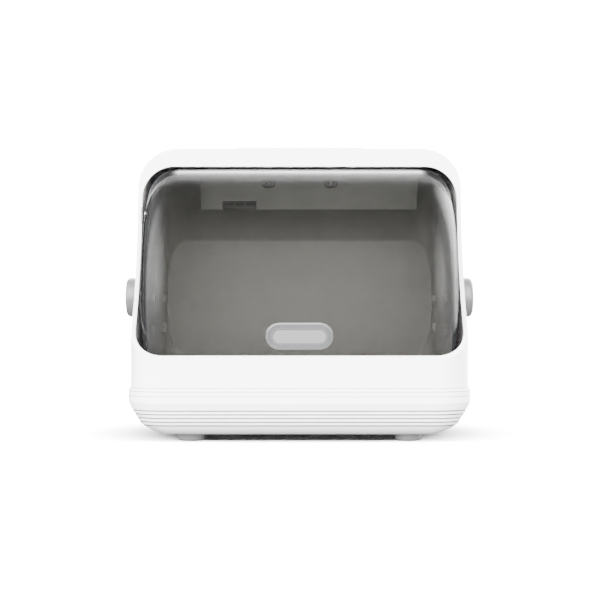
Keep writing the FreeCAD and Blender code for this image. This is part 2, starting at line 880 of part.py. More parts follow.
def make_feet():
    feet = []
    for x in ("-foot_spread / 2", "foot_spread / 2"):
        for y in ("-foot_pitch / 2", "foot_pitch / 2"):
            foot = new_body("foot")
            body_rod(foot, "z", "foot_radius", "foot_height", x, y, "0")
            dress(foot, "Fillet", "foot_round", level("0"))
            feet.append(foot)
    node("rubber_feet", group("rubber_feet", *feet))


make_feet()


# Visor: a drum-shaped smoked shell with rounded rims and side cheeks, cut to
# the sector that closes the front, with a round hub about each hinge pin.


def make_visor():
    outer = drum("visor_outer", "visor_half", "visor_radius", "visor_round")
    inner = drum("visor_inner", "visor_half - visor_wall", "visor_radius - visor_wall",
                 "visor_round - visor_wall")
    shell = cut("visor_shell", outer, inner)
    sector = doc.addObject("Part::Cylinder", "visor_sector")
    bind(sector, Radius="visor_radius + 10", Height="2 * visor_half + 20",
         Angle="visor_low_angle + visor_high_angle")
    upper_edge = Rotation(Vector(1, 0, 0), 180 - value("visor_high_angle"))
    along_x = Rotation(Vector(0, 1, 0), Vector(0, 0, 1), Vector(1, 0, 0), "XYZ")
    place(sector, "-visor_half - 10", PIVOT_Y, "pivot_height", upper_edge * along_x)
    front = common("visor_front", shell, sector)
    hubs = []
    for start in ("-visor_half", "visor_half - visor_wall"):
        hubs.append(rod("visor_hub", "x", "hub_radius", "visor_wall", start, PIVOT_Y,
                        "pivot_height"))
    blank = fuse("visor_blank", front, *hubs)
    bore = rod("visor_bore", "x", "shaft_radius + 0.05", "2 * visor_half + 20",
               "-visor_half - 10", PIVOT_Y, "pivot_height")
    holes = []
    for x in handle_screw_spots():
        hole = rod("visor_screw_hole", "y", "screw_radius + 0.05", "20", x,
                   "-visor_radius - 10", "0")
        holes.append(on_visor("visor_screw_hole_turned", hole))
    node("visor", cut("visor", blank, bore, *holes))
    return outer


def on_visor(name, thing):
    """Turn a piece made on the drum's front down to the handle's place."""
    turned = group(name, thing)
    tilt = Rotation(Vector(1, 0, 0), value("handle_angle"))
    return place(turned, "0", PIVOT_Y, "pivot_height", tilt)


def handle_screw_spots():
    return ("-handle_screw_pitch / 2", "handle_screw_pitch / 2")


visor_drum = make_visor()


# Handle: a stadium-shaped grip on the visor's lower edge, with two fine
# stepped rings round a shallow recess, and an inlay plate in the recess.


def stadium(name, width, height, run):
    return rounded_prism(name, "y", centred("0", width), run, centred("0", height),
                         "(%s) / 2 - 0.05" % height)


def make_handle():
    face = "(-visor_radius - handle_proud)"
    grip = stadium("handle_form", "handle_width", "handle_height", (face, "-visor_radius + 8"))
    front = value(face)
    dress(grip, "Fillet", "handle_round", lambda edge: abs(edge.BoundBox.YMax - front) < 0.01)
    recess = stadium("handle_recess", "inset_width", "inset_height",
                     (face + " - 1", face + " + inset_depth"))
    rings = []
    for n in range(2):
        grow = "ring_first + %d * ring_pitch" % n
        outer = stadium("ring_outer", "inset_width + 2 * (%s)" % grow,
                        "inset_height + 2 * (%s)" % grow, (face + " - 1", face + " + ring_depth"))
        inner = stadium("ring_inner", "inset_width + 2 * (%s) - 2 * ring_width" % grow,
                        "inset_height + 2 * (%s) - 2 * ring_width" % grow,
                        (face + " - 2", face + " + ring_depth + 1"))
        rings.append(cut("handle_ring", outer, inner))
    wells = [rod("handle_well", "y", "screw_radius + 0.05", "screw_length", x,
                 "-visor_radius - screw_length + visor_wall", "0")
             for x in handle_screw_spots()]
    base = rod("handle_seat", "x", "visor_radius + 0.05", "handle_width + 20",
               "-handle_width / 2 - 10", "0", "0")
    solid = cut("handle_solid", grip, recess, base, *rings, *wells)
    node("handle_body", on_visor("handle_body", solid))
    inlay = stadium("inlay_form", "inset_width - 0.3", "inset_height - 0.3",
                    (face + " + 0.2", face + " + inset_depth"))
    node("handle_inset", on_visor("handle_inset", inlay))
    screws = [screw("handle_screw", "y", 1, x, "-visor_radius + visor_wall + 0.1", "0")
              for x in handle_screw_spots()]
    node("handle_screws", on_visor("handle_screws", group("handle_screw_pair", *screws)))


make_handle()


# Hinge: on each side a bush in the cabinet wall, a disc on a stub shaft that
# turns with the visor, a washer behind the disc and a retainer inside.


def mirrored(name, thing):
    copy = doc.addObject("Part::Mirroring", name)
    copy.Source = thing
    copy.Normal = Vector(1, 0, 0)
    copy.Base = Vector(0, 0, 0)
    return copy


def make_hinge():
    wall_inner = "(%s - cabinet_wall)" % SIDE
    pin = {"y": PIVOT_Y, "z": "pivot_height"}
    sleeve = rod("bush_sleeve", "x", "bush_radius", "cabinet_wall", x=wall_inner, **pin)
    flange = rod("bush_flange_disc", "x", "bush_flange_radius", "bush_flange",
                 x=wall_inner + " - bush_flange", **pin)
    bore = rod("bush_bore", "x", "shaft_radius + shaft_clearance", "40",
               x=wall_inner + " - 20", **pin)
    bush = cut("bush_right", fuse("bush_blank", sleeve, flange), bore)
    node("hinge_bush_right", bush)
    node("hinge_bush_left", mirrored("bush_left", bush))

    disc = new_body("disc_form")
    disc_start = "(%s + disc_gap)" % SIDE
    body_rod(disc, "x", "disc_radius", "disc_reach - " + disc_start, x=disc_start, **pin)
    outer_x = value("disc_reach")
    dress(disc, "Fillet", "disc_round", lambda edge: abs(edge.BoundBox.XMin - outer_x) < 0.01)
    shaft_start = "(visor_half - visor_wall)"
    body_rod(disc, "x", "shaft_radius", "%s - %s + 1" % (disc_start, shaft_start),
             x=shaft_start, **pin)
    node("hinge_disc_right", disc)
    node("hinge_disc_left", mirrored("disc_left", disc))

    washer = cut("washer_right",
                 rod("washer_form", "x", "disc_radius - 3", "washer_thickness", x=SIDE, **pin),
                 rod("washer_bore", "x", "shaft_radius + 1", "10", x=SIDE + " - 5", **pin))
    node("hinge_washers", group("hinge_washers", washer, mirrored("washer_left", washer)))
    retainer = rod("retainer_right", "x", "shaft_radius + 5", "retainer_thickness",
                   x=shaft_start + " - retainer_thickness", **pin)
    node("hinge_retainers", group("hinge_retainers", retainer,
                                  mirrored("retainer_left", retainer)))


make_hinge()


# Lid sensor: a magnet on the visor's left cheek passes a reed switch on the
# cabinet's wall, which puts the lamp out when the visor is lifted.


def make_lid_sensor():
    y = "%s - sensor_reach * cos(sensor_angle * 1deg)" % PIVOT_Y
    z = "pivot_height + sensor_reach * sin(sensor_angle * 1deg)"
    magnet = rod("lid_magnet", "x", "magnet_radius", "magnet_height",
                 "-visor_half - magnet_height", y, z)
    node("lid_magnet", magnet)
    inner = "(-%s + cabinet_wall)" % SIDE
    switch = block("reed_switch", (inner, inner + " + 1.8"), centred(y, "6"), centred(z, "16"))
    node("reed_switch", switch)


make_lid_sensor()


# Chamber: a bright liner that nests inside the visor's sweep, open at the
# front, with a low sill and four lugs on each side for an upper shelf.


def make_liner():
    outer_drum = drum("liner_outer", "liner_half", "liner_radius", "liner_round")
    inner_drum = drum("liner_inner", "liner_half - liner_wall", "liner_radius - liner_wall",
                      "liner_round - liner_wall")
    outer = common("liner_form", outer_drum,
                   block("liner_bounds", ACROSS, (behind("-50"), behind("liner_back")),
                         ("liner_bottom", "cabinet_top")))
    inner = common("liner_hollow", inner_drum,
                   block("hollow_bounds", ACROSS, (behind("-50"), behind("liner_back - liner_wall")),
                         ("liner_bottom + liner_wall", "cabinet_top")))
    side = "(liner_half - liner_wall)"
    window = block("liner_window", ("-" + side, side), (behind("-50"), behind("ceiling_front")),
                   ("liner_sill", "cabinet_top"))
    grille_hole = block("liner_grille_hole", centred("0", "grille_width"),
                        centred(GRILLE_Y, "grille_depth"), ("liner_bottom - 1", "liner_sill"))
    shell = cut("liner_shell", outer, inner, window, grille_hole)
    lugs = []
    for way in ("-1", "1"):
        bounds = ("%s * (%s + 0.5)" % (way, side), "%s * (%s - lug_reach)" % (way, side))
        x = bounds if way == "-1" else bounds[::-1]
        for depth in ("lug_front", "lug_front + lug_pitch"):
            for height, size in (("low_lug_height", "low_lug_size"),
                                 ("high_lug_height", "high_lug_size")):
                lugs.append(block("shelf_lug", x, (behind(depth), behind(depth + " + lug_depth")),
                                  centred(height, size)))
    node("chamber_liner", fuse("chamber_liner", shell, *lugs))


make_liner()


# Air grille: a slotted plate over the hot-air opening in the chamber floor.


GRILLE_SLOTS = 34


def make_grille():
    floor = "(liner_bottom + liner_wall)"
    plate = new_body("grille_form")
    body_block(plate, centred("0", "grille_width + 4"), centred(GRILLE_Y, "grille_depth + 4"),
               (floor, floor + " + 1.5"))
    run = "slot_pitch * %d" % (GRILLE_SLOTS - 1)
    slot = body_block(plate, centred("-%s / 2" % run, "slot_width"),
                      centred(GRILLE_Y, "grille_depth - 4"), ("liner_bottom", "liner_sill"),
                      "Subtractive")
    repeat(plate, slot, "x", run, GRILLE_SLOTS)
    node("air_grille", plate)


make_grille()


# Lamp plate: an inclined brushed cover that hides the lamp from the front. It
# has two oval dimples for its screws, and a notch that frames the lamp strip.


def on_lamp_plate(name, thing):
    """Tilt a piece made upright into the lamp plate's plane."""
    turned = group(name, thing)
    tilt = Rotation(Vector(1, 0, 0), value("lamp_plate_tilt"))
    return place(turned, "0", behind("lamp_plate_top_depth"), "lamp_plate_top_height", tilt)


def dimple_spots():
    return ("-dimple_pitch / 2", "dimple_pitch / 2")


def make_lamp_plate():
    x = centred("lamp_plate_offset", "lamp_plate_width")
    face = block("lamp_face", x, ("0", "lamp_plate_wall"), ("-lamp_plate_length", "0"))
    shelf = block("lamp_return", x, ("0", "lamp_plate_return"),
                  ("-lamp_plate_length", "-lamp_plate_length + lamp_plate_wall"))
    notch = block("lamp_notch", centred("notch_centre", "notch_width"),
                  ("-5", "lamp_plate_return + 5"),
                  ("-lamp_plate_length - 1", "-lamp_plate_length + notch_height"))
    dimples = []
    for spot in dimple_spots():
        dimples.append(rounded_prism("lamp_dimple", "y", centred(spot, "dimple_width"), ("-5", "5"),
                                     centred("-dimple_down", "dimple_height"),
                                     "dimple_height / 2 - 0.05"))
    sheet_metal = cut("lamp_sheet", fuse("lamp_sheet_blank", face, shelf), notch, *dimples)
    cups = []
    for spot in dimple_spots():
        cup = rounded_prism("lamp_cup", "y", centred(spot, "dimple_width + 2"),
                            ("lamp_plate_wall", "lamp_plate_wall + 1"),
                            centred("-dimple_down", "dimple_height + 2"), "dimple_height / 2")
        cups.append(cut("lamp_cup_drilled", cup, screw_hole("lamp_cup", "y", spot, "0",
                                                            "-dimple_down")))
    front = on_lamp_plate("lamp_plate_front", fuse("lamp_plate_sheet", sheet_metal, *cups))
    node("lamp_plate", front)
    brackets = []
    under = "(%s - seat_gap)" % CEILING
    cup_back = "(lamp_plate_wall + 1)"
    for spot in dimple_spots():
        pad = block("bracket_pad", centred(spot, "dimple_width + 4"),
                    (cup_back, cup_back + " + bracket_wall"),
                    centred("-dimple_down", "dimple_height + 2"))
        post = block("bracket_post", centred(spot, "dimple_width + 4"),
                     (behind("lamp_plate_top_depth + 14"), behind("lamp_plate_top_depth + 24")),
                     ("lamp_plate_top_height - 14", under))
        above = block("bracket_above", ACROSS, (behind("0"), BACK), (under, "cabinet_top"))
        hole = screw_hole("bracket", "y", spot, "0", "-dimple_down")
        brackets.append(cut("lamp_bracket",
                            fuse("bracket_blank", on_lamp_plate("bracket_pad_set", pad), post),
                            above, on_lamp_plate("bracket_hole_set", hole)))
    node("lamp_brackets", group("lamp_brackets", *brackets))
    screws = [screw("lamp_screw", "y", -1, spot, "lamp_plate_wall", "-dimple_down")
              for spot in dimple_spots()]
    node("lamp_plate_screws", on_lamp_plate("lamp_plate_screws", group("lamp_screw_pair", *screws)))


CEILING = "(pivot_height + sqrt((liner_radius - liner_wall)^2 - 24^2))"

make_lamp_plate()


# Lamp strip: a dark module in the lamp plate's notch with three windows.


def make_lamp_strip():
    module = block("strip_form", centred("notch_centre", "notch_width - 2 * seat_gap"),
                   ("0.6", "4.6"),
                   ("-lamp_plate_length", "-lamp_plate_length + notch_height - seat_gap"))
    windows = []
    for n in (-1, 0, 1):
        windows.append(block("strip_window", centred("notch_centre + %d * window_pitch" % n,
                                                     "window_length"), ("-1", "1.4"),
                             centred("-lamp_plate_length + notch_height - 4", "window_size")))
    node("lamp_strip", on_lamp_plate("lamp_strip", cut("strip_cut", module, *windows)))


make_lamp_strip()


# Lamp: a germicidal tube with metal end caps, in two sockets that hang from
# the chamber's ceiling behind the lamp plate.


SOCKET_BACK = "(lamp_depth + socket_width / 2)"
SOCKET_TOP = ("(pivot_height + sqrt((liner_radius - liner_wall - seat_gap)^2"
              " - (%s - pivot_depth)^2))" % SOCKET_BACK)


def make_lamp():
    y = behind("lamp_depth")
    end = "(lamp_length / 2)"
    tube = rod("tube_glass", "x", "lamp_radius", "lamp_length - 2 * cap_length",
               "lamp_plate_offset - %s + cap_length" % end, y, "lamp_height")
    node("uv_tube", tube)
    caps = []
    sockets = []
    for way in (-1, 1):
        out = "(lamp_plate_offset + %d * %s)" % (way, end)
        cap_start = out if way < 0 else out + " - cap_length"
        caps.append(rod("tube_cap", "x", "lamp_radius + 0.3", "cap_length", cap_start, y,
                        "lamp_height"))
        x = (out, out + " + socket_length") if way > 0 else (out + " - socket_length", out)
        sockets.append(block("lamp_socket", x, centred(y, "socket_width"),
                             ("lamp_height - socket_width / 2", SOCKET_TOP)))
    node("tube_caps", group("tube_caps", *caps))
    node("lamp_sockets", group("lamp_sockets", *sockets))


make_lamp()


# Control panel: a raised pad on the roof with six sprung keys, over a board
# in a shallow box that hangs under the roof, clear of the visor.


KEYS = 6
KEY_Y = behind("key_row_depth")
ROOF = "(cabinet_top - roof_wall)"
BOARD_TOP = "(board_height + board_thickness)"
KEY_LOW = "(%s + switch_height + 0.2 + key_travel)" % BOARD_TOP
PANEL_UNDER = "(cabinet_top - 0.2)"


def key_x(n):
    return "(%g * key_pitch)" % (n - (KEYS - 1) / 2)


def key_holes(name, radius):
    return [rod(name, "z", radius, "60", key_x(n), KEY_Y, "cabinet_top - 40")
            for n in range(KEYS)]


def make_control_panel():
    top = "(cabinet_top + panel_proud)"
    pad = panel_form("panel_pad", "0", ("cabinet_top", top))
    dress(pad, "Fillet", "panel_round", level(top))
    tongue = panel_form("panel_tongue_form", "panel_tongue + seat_gap", (ROOF, "cabinet_top + 1"))
    hollow = panel_form("panel_hollow", "panel_tongue + seat_gap + tongue_wall",
                        (ROOF + " - 1", PANEL_UNDER))
    node("control_panel", cut("control_panel", fuse("panel_blank", pad, tongue), hollow,
                              *key_holes("panel_key_hole", "key_radius + key_gap")))
    for n in range(KEYS):
        key = new_body("key_form")
        flange_top = PANEL_UNDER + " - 0.1"
        body_rod(key, "z", "key_radius", "%s + key_proud - (%s) + 0.5" % (top, flange_top),
                 key_x(n), KEY_Y, flange_top + " - 0.5")
        crown = value(top + " + key_proud")
        dress(key, "Fillet", "0.6", lambda edge: abs(edge.BoundBox.ZMin - crown) < 0.01)
        body_rod(key, "z", "key_radius + 1.2", "key_flange", key_x(n), KEY_Y,
                 flange_top + " - key_flange")
        body_rod(key, "z", "key_stem_radius", "%s - %s" % (flange_top, KEY_LOW), key_x(n), KEY_Y,
                 KEY_LOW)
        node("key_%d" % (n + 1), key)


make_control_panel()


def cover_screw_pair():
    """Where the two screws of the board cover go, either side of the keys."""
    return [("(%s * cover_screw_spread / 2)" % way, KEY_Y) for way in ("-1", "1")]


def make_board_cover():
    flat_half = "(%s - roof_corner)" % SIDE
    x = ("cover_inset - " + flat_half, flat_half + " - 0.2")
    y = (behind("cover_front"), behind("cover_front + cover_depth"))
    tub = block("cover_tub", x, y, ("cover_bottom", ROOF))
    hollow = block("cover_hollow", (x[0] + " + cover_wall", x[1] + " - cover_wall"),
                   (y[0] + " + cover_wall", y[1] + " - cover_wall"),
                   ("cover_bottom + cover_wall", ROOF + " + 1"))
    holes = [rod("cover_round_hole", "z", "cover_hole_radius", "20", key_x(n), KEY_Y,
                 "cover_bottom - 5") for n in range(KEYS)]
    posts = []
    wells = []
    screws = []
    for sx, sy in cover_screw_pair():
        posts.append(rod("cover_post", "z", "4", "%s - cover_bottom - 0.5" % ROOF, sx, sy,
                         "cover_bottom + 0.5"))
        wells.append(screw_hole("cover_post", "z", sx, sy, "cover_bottom"))
        wells.append(rod("cover_well", "z", "screw_head_radius + 0.3", "screw_head + 10.2", sx,
                         sy, "cover_bottom - 10"))
        screws.append(screw("cover_box_screw", "z", -1, sx, sy, "cover_bottom + screw_head + 0.2"))
    for px in ("-board_width / 2 + 6", "board_width / 2 - 6"):
        for py in (KEY_Y + " - 22", KEY_Y + " + 22"):
            posts.append(rod("board_post", "z", "2.5", "board_height - cover_bottom - 0.5", px,
                             py, "cover_bottom + 0.5"))
    tub_hollow = cut("cover_open", tub, hollow, *holes)
    node("board_cover", cut("board_cover", fuse("cover_posted", tub_hollow, *posts), *wells))
    node("board_cover_screws", group("board_cover_screws", *screws))
    node("control_board", block("control_board", centred("0", "board_width"),
                                centred(KEY_Y, "board_depth"), ("board_height", BOARD_TOP)))
    node("tact_switches", group("tact_switches", *[
        block("tact_switch", centred(key_x(n), "switch_width"), centred(KEY_Y, "switch_width"),
              (BOARD_TOP, BOARD_TOP + " + switch_height")) for n in range(KEYS)]))


make_board_cover()


# Drip tray: a shallow tray on the chamber floor, and the slatted rack that
# stands in its rim. Both lift out.


TRAY_LOW = "(liner_bottom + liner_wall + seat_gap)"
TRAY_TOP = "(%s + tray_height)" % TRAY_LOW
RACK_LOW = "(%s + seat_gap)" % TRAY_TOP
RACK_TOP = "(%s + rack_height)" % RACK_LOW
TRAY_Y = behind("tray_front + tray_depth / 2")


def make_tray():
    form = rounded_prism("tray_form", "z", centred("0", "tray_width"),
                         centred(TRAY_Y, "tray_depth"), (TRAY_LOW, TRAY_TOP), "tray_corner")
    hollow = rounded_prism("tray_hollow", "z", centred("0", "tray_width - 2 * tray_wall"),
                           centred(TRAY_Y, "tray_depth - 2 * tray_wall"),
                           (TRAY_LOW + " + tray_wall", TRAY_TOP + " + 1"),
                           "tray_corner - tray_wall")
    node("drip_tray", cut("drip_tray", form, hollow))


make_tray()


SLATS = 24


def make_rack():
    width = "(tray_width + 2 * rack_margin)"
    depth = "(tray_depth + 2 * rack_margin)"
    rim = rounded_prism("rack_rim_form", "z", centred("0", width), centred(TRAY_Y, depth),
                        (RACK_LOW, RACK_TOP), "tray_corner + rack_margin")
    hollow = rounded_prism("rack_hollow", "z", centred("0", width + " - 2 * rack_rim"),
                           centred(TRAY_Y, depth + " - 2 * rack_rim"),
                           (RACK_LOW + " - 1", RACK_TOP + " + 1"),
                           "tray_corner + rack_margin - rack_rim")
    slats = new_body("rack_slats")
    run = "rack_slat_pitch * %d" % (SLATS - 1)
    first = body_block(slats, centred("-%s / 2" % run, "rack_slat"),
                       centred(TRAY_Y, depth + " - rack_rim"),
                       (RACK_LOW + " + 1", RACK_LOW + " + 4"))
    repeat(slats, first, "x", run, SLATS)
    slats.AllowCompound = True
    bars = []
    for way in (-1, 0, 1):
        bars.append(block("rack_bar", centred("0", width + " - rack_rim"),
                          centred("%s + %d * seat_pitch_deep / 2" % (TRAY_Y, way), "rack_slat"),
                          (RACK_LOW + " + 1", RACK_TOP)))
    seats = []
    wells = []
    for row in (-1, 1):
        for column in (-3, -1, 1, 3):
            spot = ("%d * seat_pitch_across / 2" % column,
                    "%s + %d * seat_pitch_deep / 2" % (TRAY_Y, row))
            seats.append(rod("rack_seat", "z", "seat_outer", "seat_height + 2.5", *spot,
                             RACK_LOW + " + 3.5"))
            wells.append(rod("rack_well", "z", "seat_inner", "seat_height + 10", *spot,
                             RACK_LOW + " + 4"))
    frame = cut("rack_frame", rim, hollow)
    node("rack", cut("rack", fuse("rack_blank", frame, slats, *bars, *seats), *wells))


make_rack()


# Hot air: a blower on the bottom plate pushes air through a finned heater in
# a duct that rises to the grille in the chamber floor.


BLOWER_LOW = "(%s + 0.3)" % BOTTOM_SEAT
BLOWER_TOP = "(%s + blower_height)" % BLOWER_LOW
DUCT_FRONT = "(%s - duct_depth / 2)" % GRILLE_Y
BLADES = 20


def make_blower():
    volute = rod("volute_form", "z", "blower_radius", "blower_height", "0", "blower_y", BLOWER_LOW)
    outlet = block("outlet_form", ("blower_radius - outlet_width", "blower_radius"),
                   ("blower_y", DUCT_FRONT + " - 0.3"), (BLOWER_LOW, BLOWER_TOP))
    inside = ("%s + blower_wall" % BLOWER_LOW, "%s - blower_wall" % BLOWER_TOP)
    hollow = rod("volute_hollow", "z", "blower_radius - blower_wall",
                 span(inside), "0", "blower_y", inside[0])
    throat = block("outlet_hollow", ("blower_radius - outlet_width + blower_wall",
                                     "blower_radius - blower_wall"),
                   ("blower_y", DUCT_FRONT + " + 5"), inside)
    inlet = rod("blower_inlet", "z", "blower_inlet", "60", "0", "blower_y", inside[1])
    intake = rod("blower_intake", "z", "blower_inlet", "blower_wall + 5", "0", "blower_y",
                 BLOWER_LOW + " - 5")
    ring = cut("intake_ring", intake, rod("intake_keep", "z", "motor_radius + 2", "60", "0",
                                          "blower_y", BLOWER_LOW + " - 20"))
    spokes = block("blower_spokes", centred("0", "2 * blower_radius - 4"), centred("blower_y", "5"),
                   (BLOWER_LOW, BLOWER_LOW + " + blower_wall"))
    shell = cut("blower_shell", fuse("blower_blank", volute, outlet), hollow, throat, inlet, ring)
    node("blower_housing", fuse("blower_housing", shell, spokes))
    motor_low = inside[0]
    motor = rod("motor_form", "z", "motor_radius", "motor_height", "0", "blower_y", motor_low)
    motor_bore = rod("motor_bore", "z", "axle_radius + 0.06", "30", "0", "blower_y",
                     motor_low + " + 1")
    node("blower_motor", cut("blower_motor", motor, motor_bore))

    wheel_low = "(%s + motor_height + 0.8)" % motor_low
    plate = rod("wheel_plate", "z", "wheel_radius", "wheel_sheet", "0", "blower_y", wheel_low)
    hub = rod("wheel_hub", "z", "8", "wheel_height - 3", "0", "blower_y", wheel_low)
    axle = rod("wheel_axle", "z", "axle_radius", "motor_height", "0", "blower_y",
               motor_low + " + 1.5")
    blades = []
    for n in range(BLADES):
        blade = block("blade", ("wheel_radius - blade_length + 1", "wheel_radius - 0.5"),
                      centred("0", "blade_width"),
                      ("wheel_sheet / 2", "wheel_height - wheel_sheet / 2"))
        turned = group("blade_%d" % n, blade)
        place(turned, "0", "blower_y", wheel_low, Rotation(Vector(0, 0, 1), 360 / BLADES * n))
        blades.append(turned)
    ring_outer = rod("wheel_ring", "z", "wheel_radius", "wheel_sheet", "0", "blower_y",
                     wheel_low + " + wheel_height - wheel_sheet")
    ring_bore = rod("wheel_ring_bore", "z", "wheel_radius - blade_length", "5", "0", "blower_y",
                    wheel_low + " + wheel_height - 2.4")
    node("fan_wheel", fuse("fan_wheel", plate, hub, axle, cut("wheel_rim", ring_outer, ring_bore),
                           *blades))


make_blower()


def make_duct():
    low = BLOWER_LOW
    x = ("blower_radius - outlet_width - 20", "blower_radius + 20")
    riser = block("duct_riser", x, centred(GRILLE_Y, "duct_depth"), (low, "base_top"))
    plenum = block("duct_plenum", centred("0", "grille_width"), centred(GRILLE_Y, "duct_depth"),
                   ("base_top - 0.5", "liner_bottom - seat_gap"))
    riser_hollow = block("riser_hollow", (x[0] + " + duct_wall", x[1] + " - duct_wall"),
                         centred(GRILLE_Y, "duct_depth - 2 * duct_wall"),
                         (low + " + duct_wall", "liner_bottom"))
    plenum_hollow = block("plenum_hollow", centred("0", "grille_width - 2 * duct_wall"),
                          centred(GRILLE_Y, "duct_depth - 2 * duct_wall"),
                          ("base_top - 0.5 + duct_wall", "liner_bottom + 5"))
    throat = block("duct_throat", ("blower_radius - outlet_width + blower_wall",
                                   "blower_radius - blower_wall"),
                   (DUCT_FRONT + " - 5", GRILLE_Y),
                   (low + " + blower_wall", "%s - blower_wall" % BLOWER_TOP))
    node("hot_air_duct", cut("hot_air_duct", fuse("duct_blank", riser, plenum), riser_hollow,
                             plenum_hollow, throat))
    fins = new_body("heater_form")
    middle_x = "(blower_radius - outlet_width / 2)"
    heater_low = "(%s + duct_wall + seat_gap)" % low
    body_block(fins, centred(middle_x, "heater_width"), centred(GRILLE_Y, "heater_depth"),
               (heater_low, heater_low + " + heater_height"))
    run = "fin_pitch * %d" % (FINS - 1)
    slot = body_block(fins, centred("%s - %s / 2" % (middle_x, run), "fin_gap"),
                      centred(GRILLE_Y, "heater_depth + 2"),
                      (heater_low + " + 3", heater_low + " + heater_height - 3"), "Subtractive")
    repeat(fins, slot, "x", run, FINS)
    node("ptc_heater", fins)


FINS = 12

make_duct()


# Electrics in the base: the main board on standoffs with its larger parts,
# and the lamp's ballast.


def make_electrics():
    seat = BOTTOM_SEAT
    board_low = "(%s + standoff_height)" % seat
    board_high = "(%s + board_thickness)" % board_low
    node("main_board", block("main_board", centred("main_board_x", "main_board_width"),
                             centred("main_board_y", "main_board_depth"), (board_low, board_high)))
    legs = []
    for way_x in ("-1", "1"):
        for way_y in ("-1", "1"):
            legs.append(rod("board_standoff", "z", "2.5", "standoff_height",
                            "main_board_x + %s * (main_board_width / 2 - 25)" % way_x,
                            "main_board_y + %s * (main_board_depth / 2 - 6)" % way_y, seat))
    node("board_standoffs", group("board_standoffs", *legs))
    near = "main_board_x + %d"
    parts = [
        block("transformer", centred(near % -14, "26"), centred("main_board_y + 26", "24"),
              (board_high, board_high + " + 18")),
        block("relay", centred(near % 16, "18"), centred("main_board_y + 28", "14"),
              (board_high, board_high + " + 15")),
        rod("filter_capacitor", "z", "6", "16", near % 18, "main_board_y", board_high),
        rod("small_capacitor", "z", "4", "10", near % -18, "main_board_y - 4", board_high),
        block("mains_terminal", centred(near % 0, "30"), centred("main_board_y - 36", "10"),
              (board_high, board_high + " + 11")),
    ]
    node("board_parts", group("board_parts", *parts))
    node("lamp_ballast", block("lamp_ballast", centred("ballast_x", "ballast_width"),
                               centred("main_board_y", "ballast_depth"),
                               (seat + " + 0.3", seat + " + 0.3 + ballast_height")))


make_electrics()


doc.recompute()
os.makedirs("parts", exist_ok=True)
for thing in doc.Objects:
    if "Invalid" in thing.State or "Error" in thing.State:
        raise RuntimeError("%s failed: %s" % (thing.Label, thing.State))
for label, thing in NODES.items():
    shape = thing.Shape
    if shape.isNull() or not shape.isValid():
        raise RuntimeError("bad shape: " + label)
for label, thing in NODES.items():
    thing.Shape.exportStep("parts/%s.step" % label)
    box = thing.Shape.BoundBox
    print("%-20s %d solids, %8.1f cm3, z %.1f to %.1f" % (
        label, len(thing.Shape.Solids), thing.Shape.Volume / 1000, box.ZMin, box.ZMax))
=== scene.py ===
# The looks of a baby bottle sterilizer: a white cabinet with a smoked drum
# visor, dressed piece by piece in the order in which it is put together.

import math

import bmesh
import bpy
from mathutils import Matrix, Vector


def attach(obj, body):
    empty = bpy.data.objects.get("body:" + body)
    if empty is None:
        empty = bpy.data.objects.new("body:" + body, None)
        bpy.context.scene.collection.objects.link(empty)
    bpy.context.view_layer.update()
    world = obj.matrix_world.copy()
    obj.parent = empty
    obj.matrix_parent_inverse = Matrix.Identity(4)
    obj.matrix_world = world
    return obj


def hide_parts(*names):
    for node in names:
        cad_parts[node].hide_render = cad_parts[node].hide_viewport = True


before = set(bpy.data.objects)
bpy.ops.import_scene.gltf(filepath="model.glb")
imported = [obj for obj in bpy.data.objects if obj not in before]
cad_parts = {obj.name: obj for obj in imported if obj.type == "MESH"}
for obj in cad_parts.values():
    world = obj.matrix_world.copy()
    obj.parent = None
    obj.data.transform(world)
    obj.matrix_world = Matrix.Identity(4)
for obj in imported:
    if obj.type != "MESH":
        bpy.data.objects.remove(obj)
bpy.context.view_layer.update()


# The camera looks straight at the front, level with the middle of the
# cabinet and 1.7 metres before it, as in the photograph.

EYE_DISTANCE = 1.702
EYE_HEIGHT = 0.150
SENSOR = 36.0
LENS = 89.94
LENS_SHIFT = 0.0008


def new_thing(name, data):
    """A new object in the scene."""
    thing = bpy.data.objects.new(name, data)
    bpy.context.scene.collection.objects.link(thing)
    return thing


camera_data = bpy.data.cameras.new("camera")
camera_data.sensor_width = SENSOR
camera_data.lens = LENS
camera_data.shift_x = LENS_SHIFT
camera = new_thing("camera", camera_data)
camera.location = (0, -EYE_DISTANCE, EYE_HEIGHT)
camera.rotation_euler = (math.pi / 2, 0, 0)
bpy.context.scene.camera = camera


# The studio: a room that the camera sees as plain white. What lights the
# cabinet is a bright front, the left side, the right rear and a low backdrop,
# over a dark ground. Each pair is where a light or a shade comes or goes.

ROOM_SEEN = 22.0
CEILING_FROM = (0.5, 0.98)
CEILING_SHADE = 0.9
GROUND_UP_TO = (-0.35, 0.3)
GROUND_SHADE = 0.05
FRONT_LIGHT = 17.5
FRONT_FROM = (-0.15, -0.75)
BACKDROP_LIGHT = 14.0
BACKDROP_FROM = (0.35, 0.95)
BACKDROP_UP_TO = (0.15, 0.8)
BACKDROP_RIGHT_OF = (-0.4, -0.1)
LEFT_LIGHT = 11.0
LEFT_FROM = (-0.35, -0.9)
LEFT_BACK_TO = (0.1, 0.4)
LEFT_BEHIND = 0.1
RIGHT_LIGHT = 0.6
RIGHT_FROM = (0.55, 0.98)
RIGHT_REAR_LIGHT = 15.0
RIGHT_REAR_FROM = (0.25, 0.6)
RIGHT_REAR_BEHIND = (0.1, 0.5)
LEFT_REAR_SHADE = 0.05
LEFT_REAR_LEFT_OF = (-0.5, -0.15)
LEFT_REAR_BEHIND = (0.1, 0.45)
AMBIENT_UP_FROM = (-0.6, 0.3)
AMBIENT_LOW = 0.2


